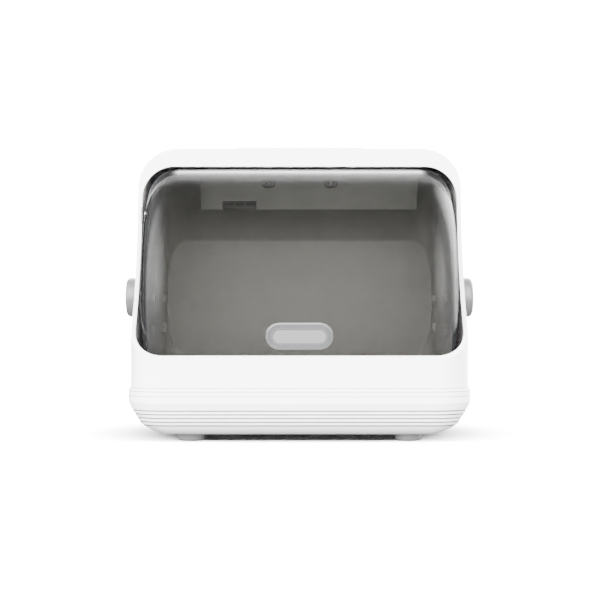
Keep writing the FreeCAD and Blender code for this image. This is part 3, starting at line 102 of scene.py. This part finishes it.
class Graph:
    """A node tree that is wired by naming what goes into each socket."""

    def __init__(self, tree):
        self.nodes = tree.nodes
        self.links = tree.links

    def put(self, setting, socket):
        """Link a socket to another node's, or give it a value."""
        if isinstance(setting, bpy.types.NodeSocket):
            self.links.new(setting, socket)
        elif socket.type == "RGBA":
            socket.default_value = (*setting, 1)
        else:
            socket.default_value = setting

    def fill(self, node, **inputs):
        """Put settings into a node's sockets by their names."""
        for name, setting in inputs.items():
            self.put(setting, node.inputs[name.replace("_", " ")])
        return node

    def add(self, kind, **inputs):
        """A new node. A kind that doesn't say Node is a shader node."""
        if "Node" not in kind:
            kind = "ShaderNode" + kind
        return self.fill(self.nodes.new(kind), **inputs)

    def worked(self, operation, *parts):
        """One step of arithmetic."""
        node = self.add("Math")
        node.operation = operation
        for part, socket in zip(parts, node.inputs):
            self.put(part, socket)
        return node.outputs[0]

    def chained(self, operation, total, *parts):
        """The same step of arithmetic with one part after another."""
        for part in parts:
            total = self.worked(operation, total, part)
        return total

    def vector(self, operation, *parts):
        """One step of arithmetic on vectors."""
        node = self.add("VectorMath")
        node.operation = operation
        for part, socket in zip(parts, node.inputs):
            self.put(part, socket)
        return node.outputs["Value" if operation == "LENGTH" else "Vector"]

    def stepped(self, source, start, end, low, high, smooth="LINEAR"):
        """Spread a value from the range start to end over the range low to high."""
        node = self.add("MapRange", Value=source, From_Min=start, From_Max=end, To_Min=low,
                        To_Max=high)
        node.interpolation_type = smooth
        return node.outputs["Result"]


room = bpy.data.worlds.new("room")
bpy.context.scene.world = room
room.use_nodes = True
glow = Graph(room.node_tree)
background = glow.fill(glow.nodes["Background"], Color=(1.0, 1.0, 1.0))
toward = glow.add("SeparateXYZ", Vector=glow.add("TexCoord").outputs["Generated"]).outputs


def spread(axis, start, end, low, high):
    """A smooth step of strength along one axis of the room's directions."""
    return glow.stepped(toward[axis], start, end, low, high, "SMOOTHSTEP")


ceiling = spread("Z", *CEILING_FROM, 1.0, CEILING_SHADE)
ground = spread("Z", *GROUND_UP_TO, GROUND_SHADE, 1.0)
front = glow.chained("MULTIPLY", spread("Y", *FRONT_FROM, 0.0, FRONT_LIGHT), ceiling, ground)
backdrop = glow.chained("MULTIPLY", spread("Y", *BACKDROP_FROM, 0.0, BACKDROP_LIGHT),
                        spread("Z", *BACKDROP_UP_TO, 1.0, 0.0),
                        spread("X", *BACKDROP_RIGHT_OF, 0.0, 1.0), ground)
left_side = glow.chained("MULTIPLY", spread("X", *LEFT_FROM, 0.0, LEFT_LIGHT),
                         spread("Y", *LEFT_BACK_TO, 1.0, LEFT_BEHIND), ceiling, ground)
right_side = glow.chained("MULTIPLY", spread("X", *RIGHT_FROM, 0.0, RIGHT_LIGHT), ceiling, ground)
right_rear = glow.chained("MULTIPLY", spread("X", *RIGHT_REAR_FROM, 0.0, RIGHT_REAR_LIGHT),
                          spread("Y", *RIGHT_REAR_BEHIND, 0.0, 1.0), ceiling, ground)
left_rear = glow.worked("MAXIMUM", spread("X", *LEFT_REAR_LEFT_OF, LEFT_REAR_SHADE, 1.0),
                        spread("Y", *LEFT_REAR_BEHIND, 1.0, LEFT_REAR_SHADE))
ambient = glow.worked("MULTIPLY", spread("Z", *AMBIENT_UP_FROM, AMBIENT_LOW, 1.0), left_rear)
around = glow.chained("ADD", front, backdrop, left_side, right_side, right_rear, ambient)
seen = glow.add("Mix", Factor=glow.add("LightPath").outputs["Is Camera Ray"], A=around,
                B=ROOM_SEEN)
glow.fill(background, Strength=seen.outputs["Result"])


# Overhead lamp: a soft rectangle above and behind the cabinet, turned to its
# middle, which lights the roof.

LAMP_PLACE = Vector((0, 1.3, 1.6))
LAMP_AIM = Vector((0, 0, 0.16))
LAMP_SIZE = (1.6, 0.5)
LAMP_WATTS = 30

lamp = bpy.data.lights.new("top_softbox", "AREA")
lamp.shape = "RECTANGLE"
lamp.size, lamp.size_y = LAMP_SIZE
lamp.energy = LAMP_WATTS
softbox = new_thing("top_softbox", lamp)
softbox.location = LAMP_PLACE
softbox.rotation_euler = (LAMP_AIM - LAMP_PLACE).to_track_quat("-Z", "Y").to_euler()


# Floor: a dark grey square that takes the cast shadow; its dark grey is itself
# painted shade round the feet. It clears away outside an oval round the feet,
# and ahead of the cabinet's front.

FLOOR_HALF = 1.2
# The grey of the painted shade round the feet.
FLOOR_SHADOW_GREY = (0.12, 0.12, 0.12)
FLOOR_ROUGHNESS = 0.6
OVAL_HALF = (0.178, 0.150, 1.0)
OVAL_FADE = (0.75, 1.75)
FRONT_FADE = (-0.158, -0.093)


def fading_shadow_grey():
    """Painted shade: grey that turns clear away from the feet."""
    grey = bpy.data.materials.new("floor_shadow_grey")
    grey.use_nodes = True
    graph = Graph(grey.node_tree)
    place = graph.add("TexCoord").outputs["Object"]
    reach = graph.vector("LENGTH", graph.vector("DIVIDE", place, OVAL_HALF))
    near = graph.stepped(reach, *OVAL_FADE, 1.0, 0.0, "SMOOTHERSTEP")
    depth = graph.add("SeparateXYZ", Vector=place).outputs["Y"]
    under = graph.stepped(depth, *FRONT_FADE, 0.0, 1.0, "SMOOTHSTEP")
    graph.fill(graph.nodes["Principled BSDF"], Base_Color=FLOOR_SHADOW_GREY, Roughness=FLOOR_ROUGHNESS,
               Alpha=graph.worked("MULTIPLY", near, under))
    return grey


floor_mesh = bpy.data.meshes.new("floor")
floor_mesh.from_pydata([(x * FLOOR_HALF, y * FLOOR_HALF, 0)
                        for x, y in ((-1, -1), (1, -1), (1, 1), (-1, 1))], [], [(0, 1, 2, 3)])
floor_mesh.materials.append(fading_shadow_grey())
floor = new_thing("floor", floor_mesh)


# Outer shell, back cover, chassis plate and trim ring: white satin mouldings
# with the faint orange peel of the mould, edges rounded by the tool and a
# trace of mottling.

WHITE = (0.90, 0.90, 0.90)
WHITE_ROUGHNESS = 0.34
MOTTLE_SIZE = 0.05
SMUDGE_SIZE = 0.012
SMUDGE = 0.08
NOISE_MIDDLE = (0.35, 0.65)
CREASE_SAMPLES = 6
EDGE_SAMPLES = 4


class Shading(Graph):
    """The nodes of one material, with its surface shader at hand."""

    def __init__(self, name):
        self.material = bpy.data.materials.new(name)
        self.material.use_nodes = True
        super().__init__(self.material.node_tree)
        self.surface = self.nodes["Principled BSDF"]
        self.place = self.add("TexCoord").outputs["Object"]

    def finish(self, **inputs):
        """Put settings into the surface shader."""
        self.fill(self.surface, **inputs)

    def noise(self, size, detail=3.0, stretch=(1, 1, 1)):
        """Noise whose cells are about this size in metres."""
        mapped = self.add("Mapping", Vector=self.place, Scale=stretch)
        texture = self.add("TexNoise", Vector=mapped.outputs["Vector"], Scale=1 / size, Detail=detail)
        return texture.outputs["Fac"]

    def ramp(self, source, low, high):
        """Spread the middle of a noise over a range."""
        return self.stepped(source, *NOISE_MIDDLE, low, high)

    def mixed(self, way, share, first, second):
        """Mix two colours in one way of blending."""
        node = self.add("Mix")
        node.data_type = "RGBA"
        node.blend_type = way
        self.fill(node, Factor=share)
        colours = [socket for socket in node.inputs if socket.type == "RGBA"]
        self.put(first, colours[0])
        self.put(second, colours[1])
        return next(socket for socket in node.outputs if socket.type == "RGBA")

    def tint(self, source, dark, light):
        """Blend two colours by a value."""
        return self.mixed("MIX", source, dark, light)

    def shaded(self, colour, amount):
        """Multiply a colour by a value."""
        return self.mixed("MULTIPLY", 1.0, colour, amount)

    def creased(self, colour, width, power=2.0, least=0.3):
        """Paint shade into a colour in creases and gaps up to a width, from occlusion."""
        openness = self.add("AmbientOcclusion", Distance=width)
        openness.samples = CREASE_SAMPLES
        shade = self.worked("POWER", openness.outputs["AO"], power)
        return self.shaded(colour, self.stepped(shade, 0.0, 1.0, least, 1.0))

    def relief(self, source, depth, edge=0.0):
        """Bump of a depth in metres, over edges rounded by a radius."""
        bump = self.add("Bump", Height=source, Distance=depth, Strength=1.0)
        if edge:
            rounding = self.add("Bevel", Radius=edge)
            rounding.samples = EDGE_SAMPLES
            self.fill(bump, Normal=rounding.outputs["Normal"])
        self.finish(Normal=bump.outputs["Normal"])


def moulding(name, colour, roughness, peel=0.0007, depth=0.000006, mottle=0.02, edge=0.0005,
             coat=0.0, crease_shade=0.0, crease_shade_power=2.0, least=0.3, low_shade=None):
    """Injection-moulded plastic, with painted shade in its creases and painted shade that darkens it
    low down.
    """
    shading = Shading(name)
    darker = tuple(part * (1 - mottle) for part in colour)
    shade = shading.tint(shading.noise(MOTTLE_SIZE), darker, colour)
    # Painted shade: creases and gaps darkened by ambient occlusion.
    if crease_shade:
        shade = shading.creased(shade, crease_shade, crease_shade_power, least)
    # Painted shade: darker towards the bottom, by height.
    if low_shade:
        height = shading.add("SeparateXYZ", Vector=shading.place).outputs["Z"]
        shade = shading.shaded(shade, shading.stepped(height, *low_shade, "SMOOTHSTEP"))
    shine = shading.ramp(shading.noise(SMUDGE_SIZE), roughness * (1 - SMUDGE),
                         roughness * (1 + SMUDGE))
    shading.finish(Base_Color=shade, Roughness=shine, Coat_Weight=coat)
    shading.relief(shading.noise(peel, 2.0), depth, edge)
    return shading.material


def finish_nodes(material, *names):
    """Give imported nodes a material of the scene's own."""
    for name in names:
        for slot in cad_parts[name].material_slots:
            slot.material = material


# Painted shade darkens the white in its creases and seams, from occlusion.
white = moulding("white_moulding", WHITE, WHITE_ROUGHNESS, crease_shade=0.002, crease_shade_power=3.2)
finish_nodes(white, "outer_shell", "chassis_plate", "back_cover", "trim_ring")


# Base: a white moulded tub with five fine grooves, whose sides turn under to
# the feet in one long round. The side curve gives, at each height, the share
# that is kept of what stands out past the underside.

CABINET = "cabinet"
UNDERSIDE_HALF = 0.131
SIDE_CURVE = ((0.009, 0.50), (0.012, 0.66), (0.0146, 0.74), (0.017, 0.82), (0.020, 0.885),
              (0.0235, 0.91), (0.027, 0.925), (0.031, 0.958), (0.035, 0.976), (0.0395, 0.986),
              (0.043, 0.994), (0.0496, 1.0))
# Painted shade: heights and levels between which the tub grows darker towards the bottom.
LOW_SHADE_HEIGHTS = (0.008, 0.032)
LOW_SHADE_LEVELS = (0.72, 1.0)


def between(table, at):
    """Read a table of pairs at a value, straight between its rows."""
    for (low, first), (high, second) in zip(table, table[1:]):
        if at <= high:
            return first + (second - first) * max(at - low, 0.0) / (high - low)
    return table[-1][1]


def turn_under(place):
    """Draw a point of the tub's sides in towards the underside."""
    over = abs(place.x) - UNDERSIDE_HALF
    if over > 0:
        place.x = math.copysign(UNDERSIDE_HALF + over * between(SIDE_CURVE, place.z), place.x)


def reshaped(name, packed, material, move):
    """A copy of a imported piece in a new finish, with its points moved."""
    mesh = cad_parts[packed].data.copy()
    for point in mesh.vertices:
        move(point.co)
    mesh.materials.clear()
    mesh.materials.append(material)
    return new_thing(name, mesh)


# Painted shade: occlusion darkens the grooves, and the tub is darker towards the bottom.
tub_white = moulding("tub_white", WHITE, WHITE_ROUGHNESS, crease_shade=0.0022, crease_shade_power=6.0,
                     least=0.15, low_shade=LOW_SHADE_HEIGHTS + LOW_SHADE_LEVELS)
tub = reshaped("base_tub", "base_shell", tub_white, turn_under)
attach(tub, CABINET)
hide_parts("base_shell")


# Visor: a drum moulded from clear plastic with a grey smoke tint, polished on
# both faces. Its upper edge and top shoulders carry a painted highlight, a white
# band; its side shoulders are glossier, and its side rims carry a painted dark
# line where the wall is seen edge on.

SMOKE = (0.66, 0.657, 0.647)
GLOSS_BLACK = (0.02, 0.021, 0.023)
# White of the painted highlight along the upper edge and top shoulders.
HIGHLIGHT_WHITE = (0.92, 0.92, 0.92)
BAND_HEIGHTS = (0.280, 0.2925)
BAND_POWER = 2.5
BAND_ENDS = (0.134, 0.142)
SHOULDER_X = 0.136
SHOULDER_Z = 0.266
SHOULDER_RADII = (0.0275, 0.0292)
SHOULDER_HEIGHTS = (0.256, 0.268)
SHOULDER_HIGHLIGHT = 0.65
DRUM_AXIS = (0.0, -0.002, 0.153)
RIM_WIDTHS = (0.1640, 0.1655)
RIM_RADII = (0.110, 0.116)
RIM_HEIGHTS = (0.262, 0.270)
# Painted dark line: the film's darker tint at the side rims, with less gloss there.
RIM_PAINTED_DARK = (0.2, 0.2, 0.2)
RIM_GLOSS = 0.3
SHEEN_WIDTHS = (0.139, 0.158)
SHEEN_SHARE = 0.3
SHEEN_END = (0.1650, 0.1662)
SHEEN_ENDING = 0.1
EDGE_BLEND = 0.5
EDGE_POWER = 4.0
EDGE_START = 0.01
EDGE_SHARE = 0.95
VISOR_ROUGHNESS = 0.035
VISOR_IOR = 1.58
VISOR_WAVE = 0.09
VISOR_WAVE_DEPTH = 0.000002


def painted_highlight(shading, across, height):
    """The painted highlight: a white band along the drum's upper edge, and on its top shoulders."""
    band = shading.worked("POWER", shading.stepped(height, *BAND_HEIGHTS, 0.0, 1.0), BAND_POWER)
    band = shading.worked("MULTIPLY", band, shading.stepped(across, *BAND_ENDS, 1.0, 0.0))
    out = shading.worked("MAXIMUM", shading.worked("SUBTRACT", across, SHOULDER_X), 0.0)
    up = shading.worked("MAXIMUM", shading.worked("SUBTRACT", height, SHOULDER_Z), 0.0)
    square = shading.worked("ADD", shading.worked("MULTIPLY", out, out),
                            shading.worked("MULTIPLY", up, up))
    radius = shading.worked("SQRT", square)
    shoulder = shading.worked("MULTIPLY",
                              shading.stepped(radius, *SHOULDER_RADII, 0.0, SHOULDER_HIGHLIGHT),
                              shading.stepped(height, *SHOULDER_HEIGHTS, 0.0, 1.0))
    return shading.worked("MAXIMUM", band, shoulder)


def painted_dark_rim(shading, across, height):
    """Where the side walls end, far from the drum's axis and below its top: the place of the painted
    dark line.
    """
    spoke = shading.vector("SUBTRACT", shading.place, DRUM_AXIS)
    radius = shading.vector("LENGTH", shading.vector("MULTIPLY", spoke, (0.0, 1.0, 1.0)))
    return shading.chained("MULTIPLY", shading.stepped(across, *RIM_WIDTHS, 0.0, 1.0),
                           shading.stepped(radius, *RIM_RADII, 0.0, 1.0),
                           shading.stepped(height, *RIM_HEIGHTS, 1.0, 0.0))


def gloss(shading, across, rim):
    """The share of gloss: most where the wall is seen edge on, some on the side shoulders."""
    facing = shading.add("LayerWeight", Blend=EDGE_BLEND).outputs["Facing"]
    slope = shading.worked("POWER", facing, EDGE_POWER)
    share = shading.worked("MULTIPLY", shading.stepped(slope, EDGE_START, 1.0, 0.0, EDGE_SHARE),
                           shading.stepped(rim, 0.0, 1.0, 1.0, RIM_GLOSS))
    sheen = shading.worked("MULTIPLY", shading.stepped(across, *SHEEN_WIDTHS, 0.0, SHEEN_SHARE),
                           shading.stepped(across, *SHEEN_END, 1.0, SHEEN_ENDING))
    return shading.worked("MAXIMUM", share, sheen)


def see_through(shading, film, share):
    """Lay the surface over a clear film by a share."""
    mix = shading.add("MixShader", Fac=share)
    shading.put(shading.add("BsdfTransparent", Color=film).outputs["BSDF"], mix.inputs[1])
    shading.put(shading.surface.outputs["BSDF"], mix.inputs[2])
    shading.fill(shading.nodes["Material Output"], Surface=mix.outputs["Shader"])


def smoked_clear():
    """Tinted clear plastic, with its painted highlight, its painted dark rims and its gloss."""
    shading = Shading("smoked_clear")
    across, _, height = shading.add("SeparateXYZ", Vector=shading.place).outputs
    across = shading.worked("ABSOLUTE", across)
    highlight = painted_highlight(shading, across, height)
    rim = painted_dark_rim(shading, across, height)
    shading.finish(Base_Color=shading.tint(highlight, GLOSS_BLACK, HIGHLIGHT_WHITE),
                   Roughness=VISOR_ROUGHNESS, IOR=VISOR_IOR)
    see_through(shading, shading.tint(rim, SMOKE, RIM_PAINTED_DARK),
                shading.worked("MAXIMUM", gloss(shading, across, rim), highlight))
    shading.relief(shading.noise(VISOR_WAVE, 1.0), VISOR_WAVE_DEPTH)
    return shading.material


finish_nodes(smoked_clear(), "visor")


# Pull and hinge knobs: satin silver-grey mouldings with a fine grain. The
# top of the pull is drawn in towards its back, and a paler polished inlay
# sits in its face.

LID = "visor_lid"
PULL_FRONT = -0.1505
PULL_BACK = -0.143
PULL_SHOULDER = 0.119
PULL_SQUEEZE = 0.72

silver_grey = moulding("silver_grey", (0.085, 0.086, 0.088), 0.30, peel=0.0003, depth=0.000004,
                       mottle=0.05, edge=0.0006)
finish_nodes(silver_grey, "hinge_disc_left", "hinge_disc_right")


def slim_back(place):
    """Lower a point of the pull's top, the more the nearer it is to the back."""
    over = place.z - PULL_SHOULDER
    depth = min(max((place.y - PULL_FRONT) / (PULL_BACK - PULL_FRONT), 0.0), 1.0)
    if over > 0:
        place.z = PULL_SHOULDER + over * (1.0 + (PULL_SQUEEZE - 1.0) * depth)


pull = reshaped("pull_body", "handle_body", silver_grey, slim_back)
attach(pull, LID)
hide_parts("handle_body")
finish_nodes(moulding("pale_inlay", (0.15, 0.151, 0.153), 0.2, peel=0.002, depth=0.000001,
                      coat=0.4), "handle_inset")


# Chamber: a satin grey moulded liner, a little darker in its grain, that nests
# inside the visor's sweep and is open at the front.

liner_grey = moulding("liner_grey", (0.226, 0.225, 0.220), 0.38, peel=0.0012, depth=0.000002,
                      mottle=0.04, edge=0.0006)
finish_nodes(liner_grey, "chamber_liner")


# Metal pieces: folded sheet and turned caps, brushed along one axis. The lamp
# plate, its brackets and the air grille are dull, the tube's caps, the motor
# and the hinge retainers bright, and the duct, heater and ballast between.

GRAIN_SIZE = 0.0004
GRAIN_STRETCH = 0.02
GRAIN_DARK = 0.88
GRAIN_SHINE = (0.8, 1.25)
METAL_EDGE = 0.0003


def brushed(name, colour, along, roughness=0.3, depth=0.000001, crease_shade=0.0):
    """Brushed sheet metal with its grain along one axis."""
    shading = Shading(name)
    stretch = tuple(GRAIN_STRETCH if axis == along else 1.0 for axis in "xyz")
    grain = shading.noise(GRAIN_SIZE, 4.0, stretch)
    shade = shading.tint(grain, tuple(part * GRAIN_DARK for part in colour), colour)
    # Painted shade in creases and gaps, from occlusion.
    if crease_shade:
        shade = shading.creased(shade, crease_shade)
    low, high = [roughness * share for share in GRAIN_SHINE]
    shading.finish(Base_Color=shade, Metallic=1.0, Roughness=shading.ramp(grain, low, high))
    shading.relief(grain, depth, METAL_EDGE)
    return shading.material


# The lamp plate, brackets and grille carry painted shade in their creases.
finish_nodes(brushed("lamp_plate_sheet", (0.41, 0.41, 0.405), "x", 0.4, crease_shade=0.006),
             "lamp_plate", "lamp_brackets", "air_grille")
finish_nodes(brushed("cap_metal", (0.72, 0.72, 0.73), "z", 0.22), "tube_caps", "blower_motor",
             "hinge_retainers")
finish_nodes(brushed("duct_sheet", (0.62, 0.63, 0.64), "z", 0.36), "hot_air_duct", "ptc_heater",
             "lamp_ballast")


# Lamp: a clear quartz tube in two white ceramic sockets, which hang from the
# chamber's ceiling behind the lamp plate.

QUARTZ = (0.75, 0.8, 0.88)
QUARTZ_FILM = (0.95, 0.97, 1.0)
QUARTZ_ROUGHNESS = 0.04
QUARTZ_BLEND = 0.4
QUARTZ_SHARES = (0.25, 0.9)
QUARTZ_WAVE = 0.03
QUARTZ_WAVE_DEPTH = 0.00001


def clear_quartz():
    """Clear glass with a share of gloss face on, and more edge on."""
    shading = Shading("quartz_tube")
    shading.finish(Base_Color=QUARTZ, Roughness=QUARTZ_ROUGHNESS)
    facing = shading.add("LayerWeight", Blend=QUARTZ_BLEND).outputs["Facing"]
    see_through(shading, QUARTZ_FILM, shading.stepped(facing, 0.0, 1.0, *QUARTZ_SHARES))
    shading.relief(shading.noise(QUARTZ_WAVE, 1.0), QUARTZ_WAVE_DEPTH)
    return shading.material


finish_nodes(clear_quartz(), "uv_tube")
finish_nodes(moulding("ceramic_white", (0.78, 0.77, 0.74), 0.28, peel=0.0012), "lamp_sockets")


# Dark plastic: the lamp strip in the plate's notch is a dark grey moulding,
# whose three windows are darkened by painted shade. The inlet, the switches,
# the blower and the board parts are matt black.

finish_nodes(moulding("lamp_module", (0.10, 0.10, 0.102), 0.5, crease_shade=0.0013, least=0.05),
             "lamp_strip")
matt_black = moulding("matt_black", (0.03, 0.03, 0.032), 0.42, peel=0.0004, depth=0.000008,
                      mottle=0.2, edge=0.0003)
finish_nodes(matt_black, "power_inlet", "reed_switch", "blower_housing", "fan_wheel",
             "tact_switches", "board_parts")


# Board cover: a shallow pale moulded box round the control board, hung under
# the roof by two screws, with painted shade in its creases.

finish_nodes(moulding("cover_pale", (0.72, 0.72, 0.72), 0.45, crease_shade=0.002), "board_cover")


# Drip tray and rack: white polypropylene mouldings, a little waxy, with flow
# marks. The slatted rack stands in the tray, and both lift out.

tray_white = moulding("tray_white", (0.76, 0.765, 0.77), 0.38, peel=0.0009, depth=0.000008,
                      mottle=0.05, edge=0.0005)
finish_nodes(tray_white, "drip_tray", "rack")


# Hinge bushes, hinge washers and board standoffs: natural nylon, left in its
# own warm white because none of it is seen from outside.

finish_nodes(moulding("natural_nylon", (0.72, 0.70, 0.64), 0.45, peel=0.0004), "hinge_bush_left",
             "hinge_bush_right", "hinge_washers", "board_standoffs")


# Control panel: a raised glossy white pad on the roof, with six satin grey
# keys that are sprung in its wells.

KEYS = 6

finish_nodes(moulding("panel_white", (0.84, 0.84, 0.845), 0.16, peel=0.003, depth=0.000002,
                      coat=0.5, edge=0.0004), "control_panel")
key_grey = moulding("key_grey", (0.26, 0.265, 0.27), 0.35, peel=0.0003, depth=0.000006, mottle=0.04)
finish_nodes(key_grey, *["key_%d" % (number + 1) for number in range(KEYS)])


# Boards: green laminate with a fine glass weave under the lacquer, for the
# control board under the keys and the main board in the base.

LAMINATE_GREEN = (0.02, 0.12, 0.05)
LACQUER_ROUGHNESS = 0.3
WEAVE_SCALE = 900.0
WEAVE_DARK = 0.8
SEAM_DARK = 0.6
WEAVE_DEPTH = 0.00001


def laminate():
    """Board laminate whose weave shows as small darker seams."""
    shading = Shading("board_green")
    weave = shading.add("TexBrick", Vector=shading.place, Scale=WEAVE_SCALE, Color1=LAMINATE_GREEN,
                        Color2=tuple(part * WEAVE_DARK for part in LAMINATE_GREEN),
                        Mortar=tuple(part * SEAM_DARK for part in LAMINATE_GREEN))
    shading.finish(Base_Color=weave.outputs["Color"], Roughness=LACQUER_ROUGHNESS)
    shading.relief(weave.outputs["Fac"], WEAVE_DEPTH)
    return shading.material


finish_nodes(laminate(), "control_board", "main_board")


# Filter: a white moulded drawer with a louvred face, which slides into the
# back cover, and an open foam pad that lies in it.

FOAM_LIGHT = (0.70, 0.70, 0.68)
FOAM_DARK = (0.25, 0.25, 0.24)
FOAM_ROUGHNESS = 0.95
FOAM_SHEEN = 0.3
FOAM_SCALE = 700.0
FOAM_DEPTH = 0.0006

finish_nodes(moulding("filter_white", (0.74, 0.74, 0.735), 0.4, peel=0.0005), "filter_frame")


def open_foam():
    """Foam with light walls between dark cells."""
    shading = Shading("filter_foam")
    cells = shading.add("TexVoronoi", Vector=shading.place, Scale=FOAM_SCALE).outputs["Distance"]
    shading.finish(Base_Color=shading.tint(cells, FOAM_DARK, FOAM_LIGHT),
                   Roughness=FOAM_ROUGHNESS, Sheen_Weight=FOAM_SHEEN)
    shading.relief(cells, FOAM_DEPTH)
    return shading.material


finish_nodes(open_foam(), "filter_pad")


# Bottom plate and feet: a grey-white moulded plate that closes the base, and
# four mid-grey rubber feet with a matt, slightly mottled skin.

finish_nodes(moulding("bottom_grey", (0.66, 0.66, 0.655), 0.42, peel=0.0006, depth=0.00001),
             "bottom_plate")
finish_nodes(moulding("foot_rubber", (0.13, 0.13, 0.132), 0.72, peel=0.0004, depth=0.00002,
                      mottle=0.12, edge=0.0008), "rubber_feet")


# Inlet pins and lid magnet: nickel plate, a little yellow. The pins stand in
# the inlet at the back, and the magnet sits in the visor's left cheek.

finish_nodes(brushed("nickel_pin", (0.70, 0.66, 0.58), "y", 0.18), "inlet_pins", "lid_magnet")


# Screws: zinc-plated pan heads with a cross recess, set where the packed
# screws are and pointing the same way. The shares are of the head's straight
# rim, its crown, the shank's point and the recess.

HEAD_RADIUS = 0.003
HEAD_HEIGHT = 0.0018
SHANK_RADIUS = 0.0015
RECESS_WIDTH = 0.0009
RECESS_DEPTH = 0.0011
HEAD_SIDES = 24
SHANK_SIDES = 16
RIM_SHARE = 0.55
CROWN_SHARE = 0.72
POINT_SHARE = 0.6
RECESS_SHARE = 1.25
SAME_PLACE = 1e-6
PLATE_TILT = math.radians(35)
PULL_TILT = math.radians(15.6)


def loose_pieces(name):
    """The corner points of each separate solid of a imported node."""
    source = bmesh.new()
    source.from_mesh(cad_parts[name].data)
    bmesh.ops.remove_doubles(source, verts=source.verts, dist=SAME_PLACE)
    source.verts.index_update()
    left = {point.index: point for point in source.verts}
    while left:
        piece = [left.pop(min(left))]
        for point in piece:
            for link in point.link_edges:
                other = link.other_vert(point)
                if other.index in left:
                    piece.append(left.pop(other.index))
        yield [Vector(point.co) for point in piece]
    source.free()


def screw_tree():
    """Geometry nodes that stand a cross-recess screw on every seat point."""
    tree = bpy.data.node_groups.new("cross_head_screws", "GeometryNodeTree")
    lengths = ("Head Radius", "Head Height", "Shank Radius", "Shank Length", "Recess Width",
               "Recess Depth")
    sockets = [("Geometry", "OUTPUT", "Geometry"), ("Seats", "INPUT", "Geometry")]
    sockets += [(label, "INPUT", "Float") for label in lengths]
    sockets += [("Facing", "INPUT", "Vector"), ("Finish", "INPUT", "Material")]
    for label, way, kind in sockets:
        tree.interface.new_socket(name=label, in_out=way, socket_type="NodeSocket" + kind)
    graph = Graph(tree)
    given = graph.add("NodeGroupInput").outputs
    result = graph.add("NodeGroupOutput").inputs

    def scaled(length, share):
        """A share of a length."""
        return graph.worked("MULTIPLY", length, share)

    def raised(shape, height):
        """A shape moved along the screw's axis."""
        up = graph.add("CombineXYZ", Z=height).outputs[0]
        return graph.add("GeometryNodeTransform", Geometry=shape, Translation=up).outputs[0]

    def cone(sides, bottom, top, length):
        """A round solid that narrows from one radius to another."""
        return graph.add("GeometryNodeMeshCone", Vertices=sides, Radius_Bottom=bottom,
                         Radius_Top=top, Depth=length).outputs["Mesh"]

    def joined(*shapes):
        """Shapes made one solid."""
        node = graph.add("GeometryNodeMeshBoolean")
        node.operation = "UNION"
        for shape in shapes:
            graph.put(shape, node.inputs["Mesh 2"])
        return node.outputs["Mesh"]

    def bar(long_way):
        """One bar of the cross that is cut into the head."""
        size = graph.add("CombineXYZ")
        graph.put(scaled(radius, RECESS_SHARE), size.inputs[long_way])
        graph.put(given["Recess Width"], size.inputs[1 - long_way])
        graph.put(scaled(given["Recess Depth"], 2.0), size.inputs[2])
        block = graph.add("GeometryNodeMeshCube", Size=size.outputs[0])
        return raised(block.outputs["Mesh"], height)

    radius, height = given["Head Radius"], given["Head Height"]
    rim = cone(HEAD_SIDES, radius, radius, scaled(height, RIM_SHARE))
    crown = cone(HEAD_SIDES, radius, scaled(radius, CROWN_SHARE), scaled(height, 1.0 - RIM_SHARE))
    shank = cone(SHANK_SIDES, scaled(given["Shank Radius"], POINT_SHARE), given["Shank Radius"],
                 given["Shank Length"])
    head = joined(rim, raised(crown, scaled(height, RIM_SHARE)),
                  raised(shank, scaled(given["Shank Length"], -1.0)))
    recessed = graph.add("GeometryNodeMeshBoolean")
    recessed.operation = "DIFFERENCE"
    graph.fill(recessed, Mesh_1=head, Mesh_2=joined(bar(0), bar(1)))
    turn = graph.add("FunctionNodeAlignRotationToVector", Vector=given["Facing"])
    turn.axis = "Z"
    stood = graph.add("GeometryNodeInstanceOnPoints", Points=given["Seats"],
                      Instance=recessed.outputs["Mesh"], Rotation=turn.outputs["Rotation"])
    real = graph.add("GeometryNodeRealizeInstances", Geometry=stood.outputs["Instances"])
    finished = graph.add("GeometryNodeSetMaterial", Geometry=real.outputs[0],
                         Material=given["Finish"])
    graph.put(finished.outputs[0], result[0])
    return tree


def grown(name, points, tree, body, slot, *replaced, **sizes):
    """Run a tree on seat points and keep the plain mesh that it makes."""
    seats = bpy.data.meshes.new(name)
    seats.from_pydata(points, [], [])
    holder = new_thing(name, seats)
    growth = holder.modifiers.new(name, "NODES")
    growth.node_group = tree
    for socket in tree.interface.items_tree:
        if socket.in_out == "INPUT" and socket.name in sizes:
            growth[socket.identifier] = sizes[socket.name]
    made = bpy.data.meshes.new_from_object(holder.evaluated_get(
        bpy.context.evaluated_depsgraph_get()))
    holder.modifiers.clear()
    holder.data = made
    made.name = name
    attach(holder, body)
    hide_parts(*replaced)


zinc = brushed("zinc_plate", (0.62, 0.62, 0.63), "z", 0.24)
cross_heads = screw_tree()


def set_screws(node, body, facing):
    """Replace a packed group of like screws, each about its own axis."""
    facing = Vector(facing).normalized()
    seats = []
    for corners in loose_pieces(node):
        heights = [corner.dot(facing) for corner in corners]
        centre = sum(corners, Vector()) / len(corners)
        seats.append(centre + facing * (max(heights) - HEAD_HEIGHT - centre.dot(facing)))
    shank = max(heights) - min(heights) - HEAD_HEIGHT
    grown(node + "_cross", seats, cross_heads, body, "steel", node,
          **{"Head Radius": HEAD_RADIUS, "Head Height": HEAD_HEIGHT, "Shank Radius": SHANK_RADIUS,
             "Shank Length": shank, "Recess Width": RECESS_WIDTH, "Recess Depth": RECESS_DEPTH,
             "Facing": facing, "Finish": zinc})


set_screws("back_cover_screws", CABINET, (0, 1, 0))
set_screws("bottom_screws", CABINET, (0, 0, -1))
set_screws("board_cover_screws", CABINET, (0, 0, -1))
set_screws("lamp_plate_screws", CABINET, (0, -math.cos(PLATE_TILT), -math.sin(PLATE_TILT)))
set_screws("handle_screws", LID, (0, math.cos(PULL_TILT), math.sin(PULL_TILT)))
